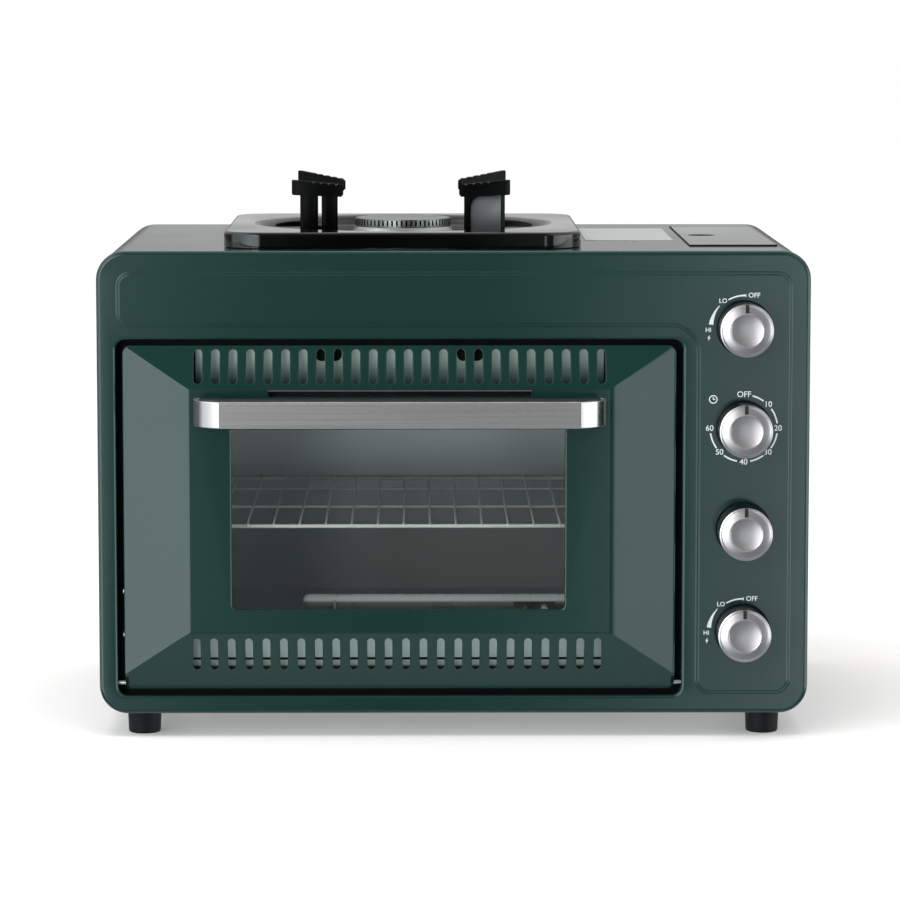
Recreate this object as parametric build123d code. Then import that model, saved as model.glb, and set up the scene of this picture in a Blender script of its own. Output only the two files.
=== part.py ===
from build123d import *
import os
from math import cos, sin, radians, sqrt

os.makedirs("parts", exist_ok=True)

# ---------------------------------------------------------------- overall sizes (mm)
W = 500.0            # width over the front fascia
BODY_BOT = 17.2      # underside of the fascia above the table
BODY_TOP = 344.3     # top of the fascia
R_BODY = 20.0        # outer corner radius of the body
F = -149.0           # Y of the fascia's front plane
REAR = 189.5         # Y of the rearmost edge
T = 1.0              # sheet thickness

# fascia opening and door
OX0, OX1, OZ0, OZ1, OR = -236.8, 160.6, 30.0, 282.3, 7.0
DX0, DX1, DZ0, DZ1, DR = -232.3, 156.3, 35.2, 278.2, 5.6
D_RIM = 1.5          # door rim plane behind the fascia plane
D_FLAT = -10.5       # raised door face in front of the fascia plane
D_BACK = 13.3        # rear face of the door
FX0, FX1, FZ0, FZ1 = -186.1, 109.9, 76.2, 248.9      # raised flat of the door
BX0, BX1, BZ0, BZ1 = -229.3, 153.3, 47.4, 276.4      # foot of the pyramid
WX0, WX1, WZ0, WZ1 = -155.6, 77.7, 93.2, 233.0       # window
SLOT_N, SLOT_PITCH, SLOT_W, SLOT_X0 = 24, 12.27, 6.0, -178.95
SLOT_TOP = (252.1, 275.6)
SLOT_BOT = (48.8, 72.4)
HINGE_D, HINGE_Z, PIN_R = 8.0, 38.3, 2.0

# cavity
CX0, CX1, CZ0, CZ1 = -212.0, 137.0, 60.0, 270.0
C_FRONT, C_BACK = 16.2, 322.5

# knobs
KX = 203.5
K_STOVE, K_TIMER, K_SAFE, K_OVEN = 290.4, 219.9, 148.6, 76.2
KNOB_R, KNOB_H, DISH_R = 18.5, 25.0, 11.0
STEM_R, STEM_CLR = 3.0, 0.05
PUSH = 5.0

# stove burner and tray
BX, BD = -36.0, 157.0                 # burner centre: X and depth behind the fascia
TRAY_HALF, TRAY_R = 127.0, 27.0
TRAY_BOT, TRAY_TOP = 344.6, 355.5

# cartridge bay and lid
LID_X0, LID_D0, LID_D1, LID_Z0 = 169.1, 64.5, 299.5, 300.5
LH_X, LH_Z = 246.6, 297.0             # lid hinge axis
CAN_X, CAN_Z = 206.5, 304.6

# oven burner
OB_D, OB_Z, OB_R = 88.0, 83.0, 6.6

FOOT_X, FOOT_D = 220.0, (27.3, 311.0)


# ---------------------------------------------------------------- helpers
def box(x0, x1, d0, d1, z0, z1):
    """box given by X, depth behind the fascia plane, and Z"""
    return Pos((x0 + x1) / 2, F + (d0 + d1) / 2, (z0 + z1) / 2) * Box(x1 - x0, d1 - d0, z1 - z0)


def rod(p, q, r):
    """cylinder of radius r from p to q, both (X, depth, Z)"""
    a = Vector(p[0], F + p[1], p[2])
    b = Vector(q[0], F + q[1], q[2])
    v = b - a
    pl = Plane(origin=a, z_dir=v.normalized())
    return pl * Cylinder(r, v.length, align=(Align.CENTER, Align.CENTER, Align.MIN))


def ball(p, r):
    return Pos(p[0], F + p[1], p[2]) * Sphere(r)


def rr(x0, x1, z0, z1, r=0.0):
    """rectangle in two coordinates, with rounded corners"""
    w, h = x1 - x0, z1 - z0
    s = RectangleRounded(w, h, r) if r > 0 else Rectangle(w, h)
    return Pos((x0 + x1) / 2, (z0 + z1) / 2) * s


def slab(sk, d0, d1):
    """sketch drawn in X and Z, made solid between two depths"""
    return extrude(Plane.XZ.offset(-(F + d1)) * sk, amount=(d1 - d0))


def plate(sk, z0, z1):
    """sketch drawn in X and Y, made solid between two heights"""
    return extrude(Plane.XY.offset(z0) * sk, amount=(z1 - z0))


def spin_z(pts, x, y):
    """closed (r, z) outline turned about a vertical axis at x, y"""
    f = make_face(Polyline(*[(p[0], p[1]) for p in pts], close=True))
    return Pos(x, y, 0) * revolve(Plane.XZ * f, axis=Axis.Z)


def front_edges(s):
    return s.faces().sort_by(Axis.Y)[0].edges()


def save(name, shape):
    sol = shape.solids()
    out = sol[0] if len(sol) == 1 else Compound(children=list(sol))
    out.label = name
    export_step(out, "parts/%s.step" % name)
    print("%-22s %2d" % (name, len(sol)), flush=True)


def save_group(name, shapes):
    sol = []
    for s in shapes:
        sol += list(s.solids())
    out = Compound(children=sol)
    out.label = name
    export_step(out, "parts/%s.step" % name)
    print("%-22s %2d" % (name, len(sol)), flush=True)


# ================================================================ housing
# ---------------------------------------------------------------- front fascia
def front_fascia():
    out = slab(rr(-W / 2, W / 2, BODY_BOT, BODY_TOP, R_BODY), 0, 8)
    out = fillet(front_edges(out), 3.0)
    inn = slab(rr(-W / 2 + T, W / 2 - T, BODY_BOT + T, BODY_TOP - T, R_BODY - T), T, 8.5)
    inn = fillet(front_edges(inn), 2.0)
    s = out - inn
    # raised panel: a band across the top and the control column
    def ell(o):
        p = [(-235.6 + o, 329.5 - o), (236.8 - o, 329.5 - o), (236.8 - o, 31.7 + o),
             (170.9 + o, 31.7 + o), (170.9 + o, 291.8 + o), (-235.6 + o, 291.8 + o)]
        f = make_face(Polyline(*p, close=True))
        return fillet(f.vertices(), 11.0)

    raised = slab(ell(0), -1.0, 0.2)
    raised = fillet(front_edges(raised), 0.8)
    s = s + raised
    s = s - slab(ell(1.0), 0.0, 1.2)
    # door opening with a rolled edge
    h = 2.2
    s = s - slab(rr(OX0 - h, OX1 + h, OZ0 - h, OZ1 + h, OR + h), -0.5, 1.5)
    ring = slab(rr(OX0 - h, OX1 + h, OZ0 - h, OZ1 + h, OR + h), 0, 5) - slab(rr(OX0, OX1, OZ0, OZ1, OR), -1, 6)
    fe = ring.faces().sort_by(Axis.Y)[0]
    inner = fe.inner_wires()[0].edges()
    ring = fillet(inner, 2.0)
    s = s + ring
    for z in (K_STOVE, K_TIMER, K_SAFE, K_OVEN):
        s = s - rod((KX, -3, z), (KX, 3, z), 6.0)
    return s


save("front_fascia", front_fascia())

# ---------------------------------------------------------------- outer cover
PANEL_SCREWS = [(-241.0, 70.0), (-241.0, 180.0), (-241.0, 290.0), (241.0, 70.0), (241.0, 180.0), (241.0, 262.0),
                (-150.0, 335.5), (0.0, 335.5), (150.0, 335.5)]


def outer_cover():
    a, b = W / 2 - 0.6, BODY_TOP - 0.4
    s = slab(rr(-a, a, BODY_BOT + 0.6, b, R_BODY - 0.6), 8.4, REAR - F)
    s = s - slab(rr(-a + T, a - T, BODY_BOT + 1.6, b - T, R_BODY - 1.6), 8.0, REAR - F + 1)
    s = s - box(-200, 200, 8, 345, 17, 19.2)
    s = s - box(LID_X0 - 0.5, 260, LID_D0 - 0.5, LID_D1 + 0.5, 292.8, 350)
    s = s - (Pos(BX, F + BD, 343) * Cylinder(46, 6))
    for x, z in PANEL_SCREWS:                        # tabs that the back panel is screwed to
        if abs(x) > 200:
            x0, x1 = (x - 7.9, x + 6) if x < 0 else (x - 6, x + 7.9)
            s = s + box(x0, x1, 334.6, 335.8, z - 7, z + 7)
        else:
            s = s + box(x - 8, x + 8, 334.6, 335.8, z - 7, z + 8.0)
        s = s - rod((x, 330, z), (x, 337, z), 1.7)
    # side vents
    for i in range(12):
        d = 96 + i * 14
        for z0, z1 in ((226, 262), (64, 100)):
            s = s - box(-252, -246, d, d + 4, z0, z1)
        s = s - box(246, 252, d, d + 4, 64, 100)
        s = s - box(246, 252, d, d + 4, 150, 186)
    for x in (-FOOT_X, FOOT_X):
        for d in FOOT_D:
            s = s - (Pos(x, F + d, 18) * Cylinder(2.2, 6))
    return s


save("outer_cover", outer_cover())

# ---------------------------------------------------------------- base pan
bp = box(-229.4, 229.4, 9.5, 334.0, 18.8, 19.8)
for i in range(14):
    x = -170 + i * 22
    bp = bp - box(x, x + 5, 60, 120, 18, 21) - box(x, x + 5, 200, 260, 18, 21)
for x in (-FOOT_X, FOOT_X):
    for d in FOOT_D:
        bp = bp - (Pos(x, F + d, 19) * Cylinder(2.2, 6))
save("base_pan", bp)

# ---------------------------------------------------------------- back panel
bk = slab(rr(-248.2, 248.2, 19.0, 342.7, 18.2), 336, 337)
for i in range(16):
    x = -160 + i * 16
    bk = bk - box(x, x + 5, 335, 338, 236, 262) - box(x, x + 5, 335, 338, 50, 76)
for x, z in PANEL_SCREWS:
    bk = bk - rod((x, 335, z), (x, 338, z), 1.7)
save("back_panel", bk)
save_group("back_screws", [rod((x, 337, z), (x, 338.4, z), 3.4) + rod((x, 328, z), (x, 337.2, z), 1.6)
                           for x, z in PANEL_SCREWS])

# ---------------------------------------------------------------- front frame behind the door
ff = slab(rr(-241.2, 165.0, 25.6, 286.7, 8), 1.0, 16.2) - slab(rr(-240.0, 163.8, 26.8, 285.5, 7), 0.5, 15.0)
ff = ff - slab(rr(CX0, CX1, CZ0, CZ1, 4), 14, 17)
save("front_frame", ff)

# ---------------------------------------------------------------- hinge brackets
hb = []
for x0, x1 in ((-240.0, -237.2), (161.0, 163.8)):
    hb.append(box(x0, x1, 6.0, 15.0, 34, 46) - rod((x0 - 1, HINGE_D, HINGE_Z), (x1 + 1, HINGE_D, HINGE_Z), PIN_R + 0.06))
save_group("hinge_brackets", hb)

# ---------------------------------------------------------------- cavity liner
lin = slab(rr(CX0 - T, CX1 + T, CZ0 - T, CZ1 + T, 5), C_FRONT, C_BACK + T)
lin = lin - slab(rr(CX0, CX1, CZ0, CZ1, 4), C_FRONT - 1, C_BACK)
lin = lin - rod((130, OB_D, OB_Z), (142, OB_D, OB_Z), 9.5)
for i in range(14):
    x = -150 + i * 16
    lin = lin - box(x, x + 5, C_BACK - 1, C_BACK + 3, 240, 260)
for i in range(8):
    lin = lin - box(-150 + i * 30, -146 + i * 30, 60, 112, 58, 61)
save("cavity_liner", lin)

# ---------------------------------------------------------------- rack rails
rails = []
for x0, x1, xw0, xw1 in ((CX0, -197.0, CX0, CX0 + 0.9), (122.0, CX1, CX1 - 0.9, CX1)):
    rails.append(box(x0, x1, 20, 319, 144.2, 145.1) + box(xw0, xw1, 20, 319, 145.0, 158))
save_group("rack_rails", rails)

# ---------------------------------------------------------------- oven burner and its fittings
ob = rod((-109, OB_D, OB_Z), (158, OB_D, OB_Z), OB_R)
ob = fillet(ob.faces().sort_by(Axis.X)[0].edges(), 5.0)
ob = ob - rod((-103.5, OB_D, OB_Z), (159, OB_D, OB_Z), OB_R - 0.8)
for i in range(22):
    x = -94 + i * 10
    ob = ob - box(x, x + 1.4, OB_D - 3, OB_D + 3, OB_Z + 5, OB_Z + 10)
save("oven_burner_tube", ob)

save("burner_bracket", box(-86, -84.8, 74, 102, CZ0, 86) + box(-98, -84.8, 74, 102, CZ0, CZ0 + 1.2)
     - rod((-90, OB_D, OB_Z), (-80, OB_D, OB_Z), OB_R + 0.05))

sb = box(44, 74, 70, 71.2, CZ0, 86.5) + box(44, 74, 60, 71.2, CZ0, CZ0 + 1.2)
sb = sb - rod((52, 68, 82), (52, 73, 82), 2.0) - rod((66, 68, 82), (66, 73, 82), 2.6)
save("sensor_bracket", sb)
save("thermocouple", rod((52, 62, 82), (52, 79, 82), 1.9) + rod((52, 58, 82), (52, 63, 82), 1.2))
save("oven_igniter", rod((66, 60, 82), (66, 75, 82), 2.5) + rod((66, 75, 82), (66, 79, 82), 0.9))

inj = rod((159, OB_D, OB_Z), (166, OB_D, OB_Z), 3.5)
inj = inj + extrude(Plane(origin=(166, F + OB_D, OB_Z), x_dir=(0, 1, 0), z_dir=(1, 0, 0)) * RegularPolygon(6.5, 6), amount=8)
save("oven_injector", inj - rod((158, OB_D, OB_Z), (175, OB_D, OB_Z), 1.2))

# ---------------------------------------------------------------- heat shield around the cavity
hs = box(150, 151, 17, 330, 20.2, 277) + box(-232, 151, 17, 330, 276, 277) + box(-232, -231, 17, 330, 20.2, 277)
hs = hs - rod((145, OB_D, OB_Z), (156, OB_D, OB_Z), 10)
save("heat_shield", hs)

# ---------------------------------------------------------------- control bracket, valves, timer
cb = box(165.0, 240.0, 12.0, 13.2, 40, 318) + box(165.0, 166.2, 2.0, 13.2, 40, 284)
for z in (K_STOVE, K_TIMER, K_SAFE, K_OVEN):
    cb = cb - rod((KX, 10, z), (KX, 15, z), 6.6)
save("control_bracket", cb)


def valve(z, deep, stem_end, side):
    s = box(KX - 12, KX + 12, 13.2, deep, z - 15, z + 15)
    s = fillet(s.edges().filter_by(Axis.Y), 4)
    s = s + rod((KX, 4, z), (KX, 14, z), 6.4)
    s = s - rod((KX, 3, z), (KX, stem_end, z), STEM_R + STEM_CLR)
    return s


sv = valve(K_STOVE, 42, 30.5, 1)
sv = sv + rod((193, 31, 297), (188, 31, 297), 4.5)
save("stove_valve", sv)
save("oven_valve", valve(K_OVEN, 42, 30.5, 1))
sf = valve(K_SAFE, 34, 33.0, 1)
sf = sf + rod((KX, 34, K_SAFE), (KX, 56, K_SAFE), 11)
sf = sf - rod((KX, 3, K_SAFE), (KX, 37, K_SAFE), STEM_R + STEM_CLR)
save("safety_valve", sf)

tb = rod((KX, 13.2, K_TIMER), (KX, 40, K_TIMER), 22) + rod((KX, 5, K_TIMER), (KX, 14, K_TIMER), 6.4)
tb = fillet(tb.faces().sort_by(Axis.Y)[-1].edges(), 2.0)
tb = tb - rod((KX, 3, K_TIMER), (KX, 30.5, K_TIMER), STEM_R + STEM_CLR)
save("timer_body", tb)

# ---------------------------------------------------------------- regulator and gas pipes
rg = rod((CAN_X, 46, CAN_Z), (CAN_X, 61.6, CAN_Z), 17)
rg = fillet(rg.faces().sort_by(Axis.Y)[0].edges(), 2.0)
rg = rg + rod((CAN_X, 61, CAN_Z), (CAN_X, 74, CAN_Z), 8.5) + rod((CAN_X, 73, CAN_Z), (CAN_X, 80, CAN_Z), 4.0)
save("regulator", rg - rod((CAN_X, 70, CAN_Z), (CAN_X, 81, CAN_Z), 1.5))

PX, PD = 233.0, 36.0
gm = rod((PX, PD, K_OVEN), (PX, PD, CAN_Z), 3)
for z in (K_STOVE, K_SAFE - 8, K_OVEN):
    gm = gm + rod((KX + 12, PD if z != K_SAFE - 8 else 28, z), (PX, PD if z != K_SAFE - 8 else 28, z), 2.6)
gm = gm + rod((PX, 28, K_SAFE - 8), (PX, PD, K_SAFE - 8), 2.7) + ball((PX, 28, K_SAFE - 8), 3.7)
gm = gm + ball((PX, PD, K_OVEN), 3.7) + ball((PX, PD, CAN_Z), 3.7)
gm = gm + rod((PX, PD, CAN_Z), (PX, 54, CAN_Z), 2.7) + ball((PX, 54, CAN_Z), 3.7) + rod((CAN_X + 17.05, 54, CAN_Z), (PX, 54, CAN_Z), 2.6)
save("gas_manifold", gm)

op = rod((KX, 42, OB_Z), (KX, OB_D, OB_Z), 3) + ball((KX, OB_D, OB_Z), 3.7) + rod((174, OB_D, OB_Z), (KX, OB_D, OB_Z), 3)
save("oven_gas_pipe", op)

# ---------------------------------------------------------------- cartridge bay
bay = box(169.8, 245.6, 62, 302, 269, 342.4)
bay = bay - box(170.6, 244.8, 62.8, 301.2, 270, 350) - box(240, 250, 62.8, 301.2, 291.5, 350)
bay = bay & slab(rr(-247.8, 247.8, 19, 342.4, 18), 60, 305)
bay = bay - rod((CAN_X, 60, CAN_Z), (CAN_X, 64, CAN_Z), 9.0)
save("cartridge_bay", bay)

# ---------------------------------------------------------------- lid hinge
SEG = 232.0 / 9
pin = rod((LH_X, 66, LH_Z), (LH_X, 298, LH_Z), 1.2)
save("lid_hinge_pin", pin)


def knuckle(i):
    d0 = 66 + SEG * i + 0.25
    d1 = 66 + SEG * (i + 1) - 0.25
    return d0, d1


leaf = box(247.4, 248.4, 68, 296, 281, 293)
for i in (1, 3, 5, 7):
    d0, d1 = knuckle(i)
    leaf = leaf + rod((LH_X, d0, LH_Z), (LH_X, d1, LH_Z), 2.6) + box(247.4, 248.4, d0, d1, 292, 297)
leaf = leaf - rod((LH_X, 60, LH_Z), (LH_X, 303, LH_Z), 1.24)
save("lid_hinge_leaf", leaf)

# ---------------------------------------------------------------- stove burner
VS = (186.0, 36.0, 297.0)
ctr = (BX, BD, 326.0)
bb = spin_z([(0, 316), (24, 316), (30, 322), (34, 337), (39.5, 345), (39.5, 349), (0, 349)], BX, F + BD)
bb = bb + rod(ctr, VS, 10)
bb = bb - spin_z([(0, 320), (22, 320), (26.5, 325), (30, 338), (34, 345), (34, 350), (0, 350)], BX, F + BD)
bb = bb - rod(ctr, (VS[0] + 8, VS[1] - 5, VS[2] - 1), 7.8)
bb = bb - (Pos(BX, F + BD + 39.6, 345) * Cylinder(2.6, 30))
save("stove_burner_body", bb)

cr = spin_z([(30.5, 349), (37.5, 349), (37.1, 350.6), (35.3, 352.6), (35, 353.4), (35, 358.7), (30.5, 358.7)], BX, F + BD)
for i in range(63):
    a = 360.0 / 63 * i
    cr = cr - (Pos(BX, F + BD, 0) * Rot(0, 0, a) * Pos(33.2, 0, 356.4) * Box(6.4, 1.35, 4.4))
save("burner_crown", cr)
cap = spin_z([(0, 358.7), (34.6, 358.7), (34.6, 359.3), (34.0, 359.8), (27, 360.1), (20, 360.2), (0, 360.2)], BX, F + BD)
save("burner_cap", cap)
ig = Pos(BX, F + BD + 39.6, 345) * Cylinder(1.9, 18) + Pos(BX, F + BD + 39.6, 355) * Cylinder(0.7, 4)
save("stove_igniter", ig)

# ---------------------------------------------------------------- knob bezels
bz = []
for z in (K_STOVE, K_TIMER, K_SAFE, K_OVEN):
    r = rod((KX, -3.5, z), (KX, -1.0, z), 21.2) - rod((KX, -4, z), (KX, 0, z), 19.4)
    r = fillet(r.faces().sort_by(Axis.Y)[0].edges(), 0.7)
    bz.append(r)
save_group("knob_bezels", bz)

# ---------------------------------------------------------------- blank label plate on the top
save("label_blank", box(97, 161, 128, 276, 343.9, 344.2))

# ---------------------------------------------------------------- feet
feet, fscr = [], []
for x in (-FOOT_X, FOOT_X):
    for d in FOOT_D:
        h = BODY_BOT + 0.6
        ft = spin_z([(0, 0), (10.2, 0), (11.3, 1.2), (12.3, h), (0, h)], x, F + d)
        ft = ft - (Pos(x, F + d, 4) * Cylinder(5.0, 8.01)) - (Pos(x, F + d, 12) * Cylinder(2.1, 20))
        feet.append(ft)
        sc = Pos(x, F + d, 6.6) * Cylinder(4.2, 2.8) + Pos(x, F + d, 16) * Cylinder(2.0, 18)
        fscr.append(sc)
save_group("rubber_feet", feet)
save_group("foot_screws", fscr)


# ================================================================ door
def pyramid(o, d_base, d_top):
    """raised door face; o shrinks it all round"""
    k = 0.35 * o
    b = Plane.XZ.offset(-(F + d_base)) * rr(BX0 + o, BX1 - o, BZ0 + o, BZ1 - o)
    t = Plane.XZ.offset(-(F + d_top)) * rr(FX0 + k, FX1 - k, FZ0 + k, FZ1 - k)
    return loft([b.faces()[0], t.faces()[0]])


def door_outer():
    o = slab(rr(DX0, DX1, DZ0, DZ1, DR), D_RIM, D_BACK)
    o = fillet(front_edges(o), 1.0)
    o = o + pyramid(0, D_RIM + 0.02, D_FLAT)
    i = slab(rr(DX0 + T, DX1 - T, DZ0 + T, DZ1 - T, DR - T), D_RIM + T, D_BACK + 1)
    i = i + pyramid(1.0, D_RIM + T + 0.05, D_FLAT + T)
    s = o - i
    cut = []
    for n in range(SLOT_N):
        x = SLOT_X0 + n * SLOT_PITCH
        for z0, z1 in (SLOT_TOP, SLOT_BOT):
            cut.append(slab(rr(x - SLOT_W / 2, x + SLOT_W / 2, z0, z1, SLOT_W / 2 - 0.01), -14, 4))
    for c in cut:
        s = s - c
    s = s - slab(rr(-129.7, 54.2, 242.9, 246.4, 1.7), -14, 4)
    s = s - slab(rr(WX0, WX1, WZ0, WZ1, 3), -14, 4)
    for x in (-171.5, 96.5):
        for z in (229.0, 237.5):
            s = s - rod((x, -14, z), (x, -6, z), 2.1)
    s = s - rod((-240, HINGE_D, HINGE_Z), (-225, HINGE_D, HINGE_Z), PIN_R + 0.03)
    s = s - rod((150, HINGE_D, HINGE_Z), (160, HINGE_D, HINGE_Z), PIN_R + 0.03)
    for z in (72.9, 103.8):
        s = s - rod((-240, 7, z), (-225, 7, z), 1.55) - rod((150, 7, z), (160, 7, z), 1.55)
    return s


save("door_outer_panel", door_outer())

di = slab(rr(DX0 + 1.2, DX1 - 1.2, DZ0 + 1.2, DZ1 - 1.2, 4), D_BACK - T, D_BACK)
di = di - slab(rr(-158, 80, 90, 236, 4), D_BACK - 3, D_BACK + 1)
save("door_inner_panel", di)
save("door_glass_outer", slab(rr(-163, 85, 85.7, 239.4, 3), D_FLAT + T + 0.1, D_FLAT + T + 4.1))
gr = slab(rr(-168, 90, 81, 241.6, 4), D_FLAT + T + 0.05, D_FLAT + T + 5.3)
gr = gr - slab(rr(-163.2, 85.2, 85.5, 239.6, 3.2), D_FLAT - 1, D_FLAT + T + 4.15)
gr = gr - slab(rr(-157, 79, 91.5, 234.5, 3), D_FLAT - 1, 0)
save("glass_retainer", gr)
save("door_glass_inner", slab(rr(-166, 88, 82, 244, 3), D_BACK - T - 3.1, D_BACK - T - 0.1))

# handle: flat strap with both ends bent back, grip liner behind it
HX0, HX1, HZ0, HZ1, HD = -181.3, 106.2, 224.0, 242.4, -40.5


def handle():
    a = Pos((HX0 + HX1) / 2, F + (HD + D_FLAT) / 2) * Rectangle(HX1 - HX0, D_FLAT - HD)
    a = fillet(a.vertices().group_by(Axis.Y)[0], 18.0)
    b = Pos((HX0 + HX1) / 2, F + (HD + 3 + D_FLAT - 3) / 2) * Rectangle(HX1 - HX0 - 6, D_FLAT - HD - 6)
    b = fillet(b.vertices().group_by(Axis.Y)[0], 15.0)
    c = Pos((HX0 + HX1) / 2, F + D_FLAT - 2) * Rectangle(HX1 - HX0 - 38, 6)
    s = plate(a - b - c, HZ0, HZ1)
    for x in (-171.5, 96.5):
        for z in (229.0, 237.5):
            s = s - rod((x, -16, z), (x, -9, z), 1.6)
    return s


save("door_handle", handle())
gl = Pos((HX0 + HX1) / 2, F + (HD + 3 + D_FLAT) / 2) * Rectangle(HX1 - HX0 - 6.2, D_FLAT - HD - 3)
gl = fillet(gl.vertices().group_by(Axis.Y)[0], 14.9)
gl = plate(gl & (Pos((HX0 + HX1) / 2, F + HD + 3 + 4.5) * Rectangle(HX1 - HX0, 9.0)), 223.0, 244.2)
gl = fillet(gl.edges().filter_by(Axis.X).group_by(Axis.Y)[-1], 3.0)
save("handle_liner", gl)
save_group("handle_screws", [rod((x, -8.9 + 0, z), (x, -7.0, z), 3.4) + rod((x, -13.4, z), (x, -8.8, z), 1.55)
                             + rod((x, -9.5, z), (x, -8.8, z), 2.05)
                             for x in (-171.5, 96.5) for z in (229.0, 237.5)])
arms = []
for x0, x1 in ((-231.25, -229.7), (153.7, 155.25)):
    a = box(x0, x1, 3.2, 12.1, 36.6, 112)
    a = a - rod((x0 - 1, HINGE_D, HINGE_Z), (x1 + 1, HINGE_D, HINGE_Z), PIN_R + 0.03)
    for z in (72.9, 103.8):
        a = a - rod((x0 - 1, 7, z), (x1 + 1, 7, z), 1.55)
    a = a & slab(rr(DX0 + T + 0.04, DX1 - T - 0.04, DZ0 + T + 0.04, DZ1 - T - 0.04, DR - T - 0.04), 0, 14)
    arms.append(a)
save_group("door_hinge_arms", arms)
save_group("door_hinge_pins", [rod((-239.8, HINGE_D, HINGE_Z), (-226.5, HINGE_D, HINGE_Z), PIN_R),
                               rod((150.5, HINGE_D, HINGE_Z), (163.6, HINGE_D, HINGE_Z), PIN_R)])
riv = []
for z in (72.9, 103.8):
    riv.append(rod((-233.4, 7, z), (-232.3, 7, z), 2.9) + rod((-232.4, 7, z), (-229.0, 7, z), 1.5))
    riv.append(rod((156.3, 7, z), (157.4, 7, z), 2.9) + rod((153.0, 7, z), (156.4, 7, z), 1.5))
save_group("door_rivets", riv)
save_group("door_spacers", [rod((x, 2.6, 272.0), (x, 12.2, 272.0), 3.2) for x in (-87.3, 11.3)])


# ================================================================ knobs
def knob(z, d_base):
    """turned metal cap; local z points out of the panel, local y is up"""
    h = KNOB_H
    with_dish = []
    n = 8
    depth = 2.6
    for i in range(n + 1):
        r = DISH_R * i / n
        with_dish.append((r, h - depth * (1 - (r / DISH_R) ** 2)))
    pts = with_dish + [(KNOB_R - 1.0, h), (KNOB_R - 0.3, h - 0.3), (KNOB_R, h - 1.0), (KNOB_R + 0.4, 0),
                       (KNOB_R - 1.6, 0), (KNOB_R - 1.9, h - 4.2), (7.0, h - 4.2), (7.0, 0.6), (0, 0.6)]
    f = make_face(Polyline(*pts, close=True))
    s = revolve(Plane.XZ * f, axis=Axis.Z)
    s = s - (Pos(0, 0, 8.0) * Cylinder(STEM_R + 0.03, 20))
    s = s + (Pos(0, 3.6, 14.0) * Box(7, 2.8, 8) & Pos(0, 0, 14.0) * Cylinder(3.6, 8))
    s = s - (Pos(0, 15.6, h) * Box(3.3, 6.6, 2.4))
    return Pos(KX, F + d_base, z) * Rot(90, 0, 0) * s


def stem(z, d_base, d_end):
    s = rod((KX, d_base - 17.5, z), (KX, d_end, z), STEM_R)
    s = s - box(KX - 4, KX + 4, d_base - 20, d_base - 8, z + 2.15, z + 4)
    return s


save("stove_knob", knob(K_STOVE, -1.8))
save("stove_stem", stem(K_STOVE, -1.8, 30.0))
save("timer_knob", knob(K_TIMER, -1.8))
save("timer_shaft", stem(K_TIMER, -1.8, 30.0))
save("oven_knob", knob(K_OVEN, -1.8))
save("oven_stem", stem(K_OVEN, -1.8, 30.0))
save("safety_button", knob(K_SAFE, -7.2))
save("safety_stem", stem(K_SAFE, -7.2, 31.0))


# ================================================================ cartridge lid
def lid():
    a, b = W / 2 - 0.6, BODY_TOP - 0.4
    s = slab(rr(-a, a, BODY_BOT + 0.6, b, R_BODY - 0.6), LID_D0, LID_D1)
    s = s - slab(rr(-a + T, a - T, BODY_BOT + 1.6, b - T, R_BODY - 1.6), LID_D0 - 1, LID_D1 + 1)
    s = s & box(LID_X0, 260, LID_D0 - 1, LID_D1 + 1, LID_Z0, 350)
    for i in (0, 2, 4, 6, 8):
        d0, d1 = knuckle(i)
        s = s + rod((LH_X, d0, LH_Z), (LH_X, d1, LH_Z), 2.6) + box(248.4, 249.2, d0, d1, LH_Z, LID_Z0 + 1)
    s = s - rod((LH_X, 60, LH_Z), (LH_X, 303, LH_Z), 1.26)
    # finger dish
    s = s - (Pos(186, F + 194, 343.4) * Cylinder(10.0, 4))
    s = s + spin_z([(10.6, 343.9), (9.8, 343.2), (9.0, 341.4), (7.6, 340.9), (0, 340.9), (0, 339.9), (8.0, 339.9),
                    (10.0, 340.8), (11.0, 342.9), (11.0, 343.9)], 186, F + 194)
    return s


save("cartridge_lid", lid())


# ================================================================ oven rack
RK0, RK1, RKZ = 30.0, 317.0, 147.0
RX0, RX1 = -203.5, 132.5


def rack():
    rw = 1.5
    s = None
    for d in (RK0, RK1):
        w = rod((RX0, d, RKZ), (RX1, d, RKZ), rw)
        s = w if s is None else s + w
    for x in (RX0, RX1):
        s = s + rod((x, RK0, RKZ), (x, RK1, RKZ), rw + 0.12)
        for d in (RK0, RK1):
            s = s + ball((x, d, RKZ), rw + 0.4)
    for d in (138.0, 247.0):
        s = s + rod((RX0, d, RKZ), (RX1, d, RKZ), rw - 0.12)
    for i in range(17):
        x = -146.1 + 18.48 * (i - 2)
        s = s + rod((x, RK0, RKZ + 1.9), (x, RK1, RKZ + 1.9), 0.95)
    return s


save("wire_rack", rack())


# ================================================================ drip tray and pan supports
def tray():
    cx, cy = BX, F + BD
    o = plate(Pos(cx, cy) * RectangleRounded(2 * TRAY_HALF, 2 * TRAY_HALF, TRAY_R), TRAY_BOT, TRAY_TOP)
    o = fillet(o.faces().sort_by(Axis.Z)[-1].edges(), 3.0)
    i = plate(Pos(cx, cy) * RectangleRounded(2 * TRAY_HALF - 2.4, 2 * TRAY_HALF - 2.4, TRAY_R - 1.2), TRAY_BOT - 1, TRAY_TOP - 1.2)
    s = o - i
    s = s - (Pos(cx, cy, 350) * Cylinder(108.5, 30))
    s = s + spin_z([(109.0, 355.5), (106.5, 355.0), (104.0, 353.2), (101.8, 349.8), (99.0, 347.5), (95.5, 347.0), (47.0, 347.0),
                    (45.2, 347.8), (44.2, 349.5), (42.7, 349.5), (43.6, 347.2), (46.2, 345.8), (95.7, 345.8), (99.8, 346.3),
                    (102.8, 348.9), (105.0, 352.2), (107.0, 353.9), (109.0, 354.3)], cx, cy)
    return s


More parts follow.
